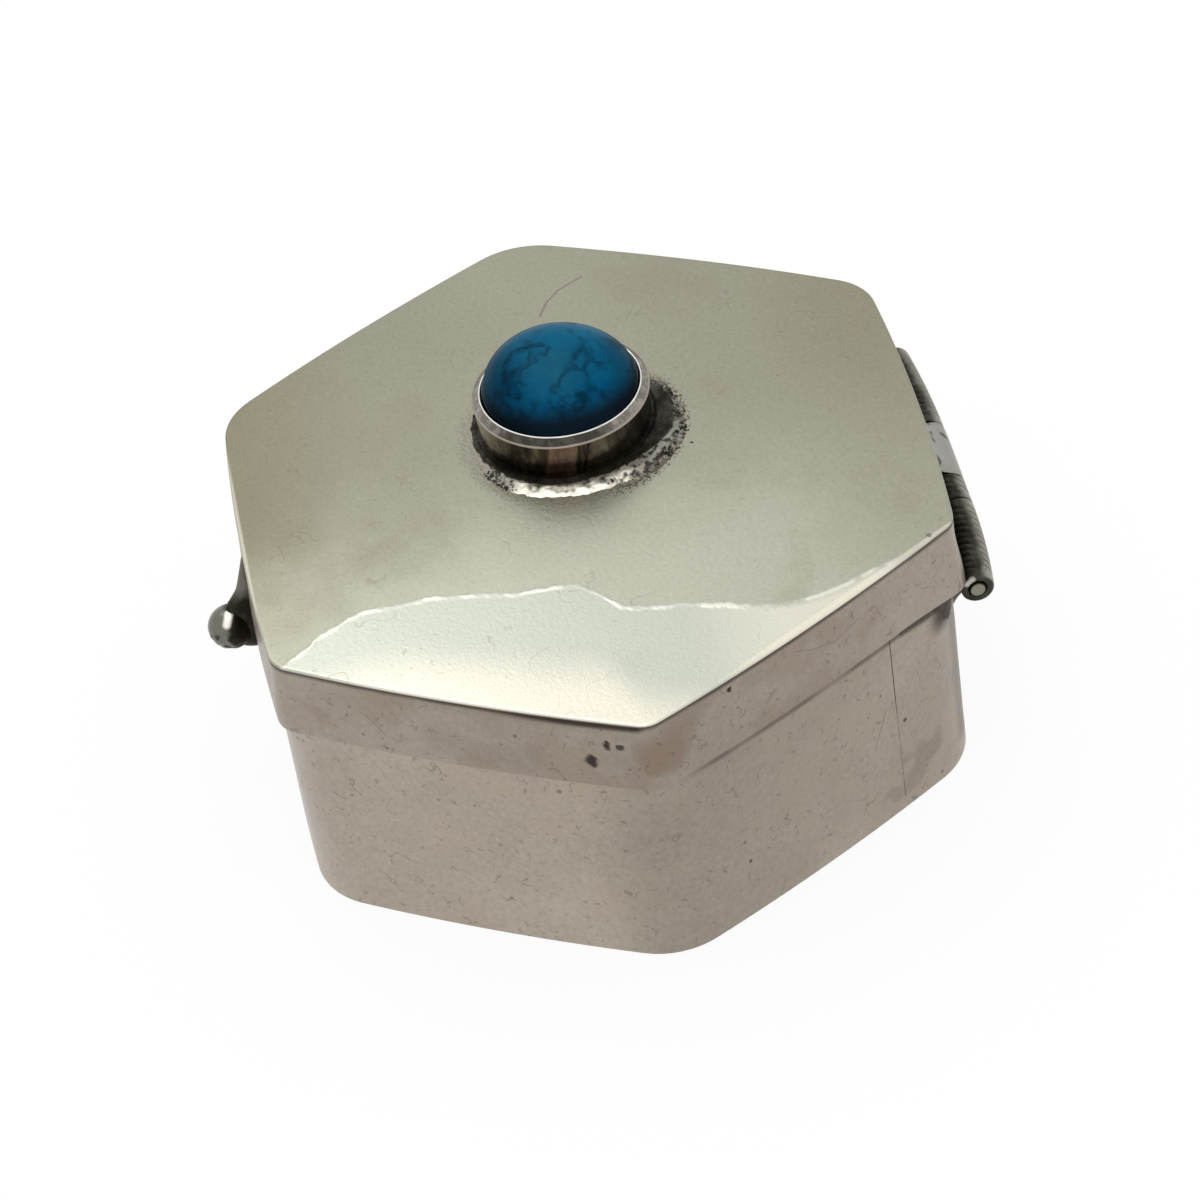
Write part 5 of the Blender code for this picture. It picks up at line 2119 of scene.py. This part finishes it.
@dataclass
class ThumbPiece:
    """The ball that the thumb lifts, on a foot that flares down the lid's wall."""

    finishes: Finishes
    place: Vector = field(default_factory=lambda: Vector((0.0, -18.35, 10.5)) * mm)
    radius: float = 1.18 * mm
    # The direction in which the melted ball is lumpy
    lumpy: tuple[float, float, float] = (0.62, -0.42, -0.66)
    wall: float = -17.0 * mm
    # The foot's height, half width and depth from the wall, in millimetres, from its tip down
    stations: tuple[tuple[float, float, float], ...] = (
        (14.90, 0.05, 0.03), (14.75, 0.14, 0.12), (14.30, 0.20, 0.24), (13.70, 0.30, 0.42),
        (12.89, 0.42, 0.66), (12.60, 0.44, 0.84), (12.15, 0.48, 1.16), (11.82, 0.52, 1.42),
        (11.50, 0.58, 1.40), (11.10, 0.72, 1.25), (10.50, 0.85, 1.25), (10.00, 0.84, 1.34),
        (9.60, 0.74, 1.30), (9.34, 0.54, 1.10), (9.20, 0.28, 0.70),
    )
    steps: int = 56

    def _ball(self) -> None:
        """The ball, smooth above and lumpy underneath."""
        turns = [math.radians(turn) for turn in np.linspace(-90.0, 90.0, 57)]
        profile = np.array([(self.radius * math.cos(turn), self.radius * math.sin(turn)) for turn in turns])
        profile[0, 0] = profile[-1, 0] = 0.0
        draft = turned(profile, self.place, 96)
        middle = np.array(self.place)

        def cast(net: Array) -> Array:
            """The ball as it was melted: round, with a lumpy underside.

            Args:
                net: Places on it, in metres.

            Returns:
                The places moved.
            """
            away = net - middle
            under = smooth(away @ self.lumpy / self.radius, 0.30, 0.75)
            push = 0.012 * (1.0 + waves(net, 1.1 * mm, 2.0)) + 0.10 * under * ragged(net, 0.40 * mm, 5.0)
            return net - away / np.linalg.norm(away, axis=1, keepdims=True) * (push * mm)[:, None]

        def grime_and_shade(net: Array) -> Array:
            """Painted shade over the half that faces the box's wall, where the ball meets the foot, and soil
            in its lumpy underside.

            Args:
                net: Places on it, in metres.

            Returns:
                The soil and painted shade at each.
            """
            away = net - middle
            under = smooth(away @ self.lumpy / self.radius, 0.30, 0.70)
            # Painted shade over the half towards the box's wall
            behind = smooth(away[:, 1] / mm, -0.32, 0.04)
            return 0.97 * behind + 0.90 * under * smooth(waves(net, 0.34 * mm, 7.0), 0.05, -0.15)

        draft.bend(cast)
        draft.smear(grime_and_shade)
        ball = draft.piece("thumb_bead", self.finishes.ball)
        settle(ball, Body.LID, ["thumb_ball"])

    def _foot(self) -> None:
        """The foot, lofted from its tip under the lid's edge to the ball."""
        given = np.array(self.stations)
        spread = np.linspace(0.0, len(given) - 1.0, 4 * len(given))
        rows = np.stack([np.interp(spread, np.arange(len(given)), given[:, axis]) for axis in range(3)], -1)
        for _ in range(3):
            rows[1:-1] = 0.25 * rows[:-2] + 0.5 * rows[1:-1] + 0.25 * rows[2:]
        front = np.linspace(0.0, math.pi, self.steps)
        points = np.zeros((len(rows), self.steps + 6, 3))
        for row, (height, width, depth) in enumerate(rows * mm):
            back = self.wall + (0.07 * mm if height > 11.62 * mm else -0.03 * mm)
            across = np.concatenate([width * np.cos(front), np.linspace(-width, width, 8)[1:-1]])
            out = np.concatenate([self.wall - depth * np.sin(front), np.full(6, back)])
            out[0] = out[self.steps - 1] = min(back, float(out[0]))
            points[row, :, 0], points[row, :, 1], points[row, :, 2] = across, out, height
        points[:, : self.steps, 1] += 0.012 * mm * waves(points[:, : self.steps], 0.6 * mm, 3.0)
        height = points[..., 2] / mm
        side = np.abs(points[..., 0]) / np.maximum(rows[:, None, 1] * mm, 1e-9)
        # Darker low down by the ball, as painted shade with tarnish, and darker at its sides
        soil_and_shade = 0.85 * smooth(height, 13.2, 12.0) + 0.35 * smooth(side, 0.75, 1.0)
        draft = Draft()
        draft.loft(points[:, ::-1], np.clip(soil_and_shade, 0.0, 1.0)[:, ::-1])
        foot = draft.piece("thumb_flare", self.finishes.foot, 60.0)
        settle(foot, Body.LID, ["thumb_foot"])

    def build(self) -> None:
        """Build and dress the thumb-piece."""
        self._ball()
        self._foot()


white = (1.0, 1.0, 1.0, 1.0)


@dataclass
class Studio:
    """A plain white sweep, soft light and the photograph's viewpoint."""

    camera_place: Vector = field(default_factory=lambda: Vector((170.183, -12.391, 158.915)) * mm)
    camera_forward: Vector = field(default_factory=lambda: Vector((-0.745117, 0.054837, -0.664675)))
    camera_roll: float = math.radians(-9.178)
    lens: float = 135.0
    sensor: float = 36.0
    world_light: float = 0.94
    floor_size: float = 4.0
    floor_glow: float = 0.90
    # Each lamp's place, its width and its brightness, where 1 is white
    lamps: tuple[tuple[str, tuple[float, float, float], float, float], ...] = (
        ("softbox", (-0.284, -0.12, 0.499), 0.34, 1.05),
        ("overhead", (0.02, -0.03, 0.600), 0.12, 4.0),
    )

    def _camera(self) -> None:
        """Put the camera where the photographer stood."""
        data = bpy.data.cameras.new("camera")
        data.lens, data.sensor_width, data.sensor_fit = self.lens, self.sensor, "HORIZONTAL"
        data.clip_start, data.clip_end = 0.01, 20.0
        camera = link("camera", data)
        camera.location = self.camera_place
        camera.rotation_mode = "QUATERNION"
        aim = self.camera_forward.to_track_quat("-Z", "Y")
        camera.rotation_quaternion = aim @ Quaternion((0.0, 0.0, 1.0), self.camera_roll)
        bpy.context.scene.camera = camera

    def _seen(self, tree: Tree) -> Wire:
        """1 where the camera looks, straight or by way of metal or stone.

        Args:
            tree: The world's or floor's tree.

        Returns:
            The mask.
        """
        path = add(tree, "ShaderNodeLightPath").outputs
        rays = ("Is Camera Ray", "Is Glossy Ray", "Is Transmission Ray")
        straight, glossy, through = (Wire(tree, path[ray]) for ray in rays)
        return straight.most(glossy).most(through)

    def _world(self) -> None:
        """A world that looks white and lights a little less than that."""
        world = bpy.data.worlds.new("studio")
        world.use_nodes = True
        world.node_tree.nodes.clear()
        strength = self._seen(world.node_tree).fit(1.0 - self.world_light, self.world_light)
        sky = strength.made("ShaderNodeBackground", {"Color": white, "Strength": strength})
        add(world.node_tree, "ShaderNodeOutputWorld", {0: sky})
        bpy.context.scene.world = world

    def _floor(self) -> None:
        """A pale floor that keeps the box's shadow."""
        half = 0.5 * self.floor_size
        mesh = bpy.data.meshes.new("floor")
        corners = [(-half, -half, 0.0), (half, -half, 0.0), (half, half, 0.0), (-half, half, 0.0)]
        mesh.from_pydata(corners, [], [(0, 1, 2, 3)])
        material = bpy.data.materials.new("floor")
        material.use_nodes = True
        material.node_tree.nodes.clear()
        share = self._seen(material.node_tree) * self.floor_glow
        matt = share.made("ShaderNodeBsdfDiffuse", {"Color": white})
        glow = share.made("ShaderNodeEmission", {"Color": white, "Strength": 1.0})
        both = share.made("ShaderNodeMixShader", {0: share, 1: matt, 2: glow})
        add(material.node_tree, "ShaderNodeOutputMaterial", {0: both})
        mesh.materials.append(material)
        floor = link("floor", mesh)

    def _lamps(self) -> None:
        """The softboxes."""
        for name, place, width, brightness in self.lamps:
            data = bpy.data.lights.new(name, "AREA")
            data.shape, data.size = "SQUARE", width
            data.energy = brightness * math.pi * width * width
            lamp = link(name, data)
            lamp.location = place
            lamp.rotation_mode = "QUATERNION"
            lamp.rotation_quaternion = (-lamp.location).to_track_quat("-Z", "Y")

    def build(self) -> None:
        """Set the studio up."""
        self._camera()
        self._world()
        self._floor()
        self._lamps()
        bpy.context.scene.view_settings.view_transform = "Standard"


def main() -> None:
    """Build the box piece by piece, then its studio."""
    logging.basicConfig(level=logging.INFO, format="%(name)s: %(message)s")
    finishes = Finishes()
    BoxBase(finishes).build()
    lid = BoxLid(finishes)
    lid.build()
    Hinge(finishes).build()
    Setting(finishes).build(lid.sag)
    ThumbPiece(finishes).build()
    Studio().build()


if __name__ == "__main__":
    main()
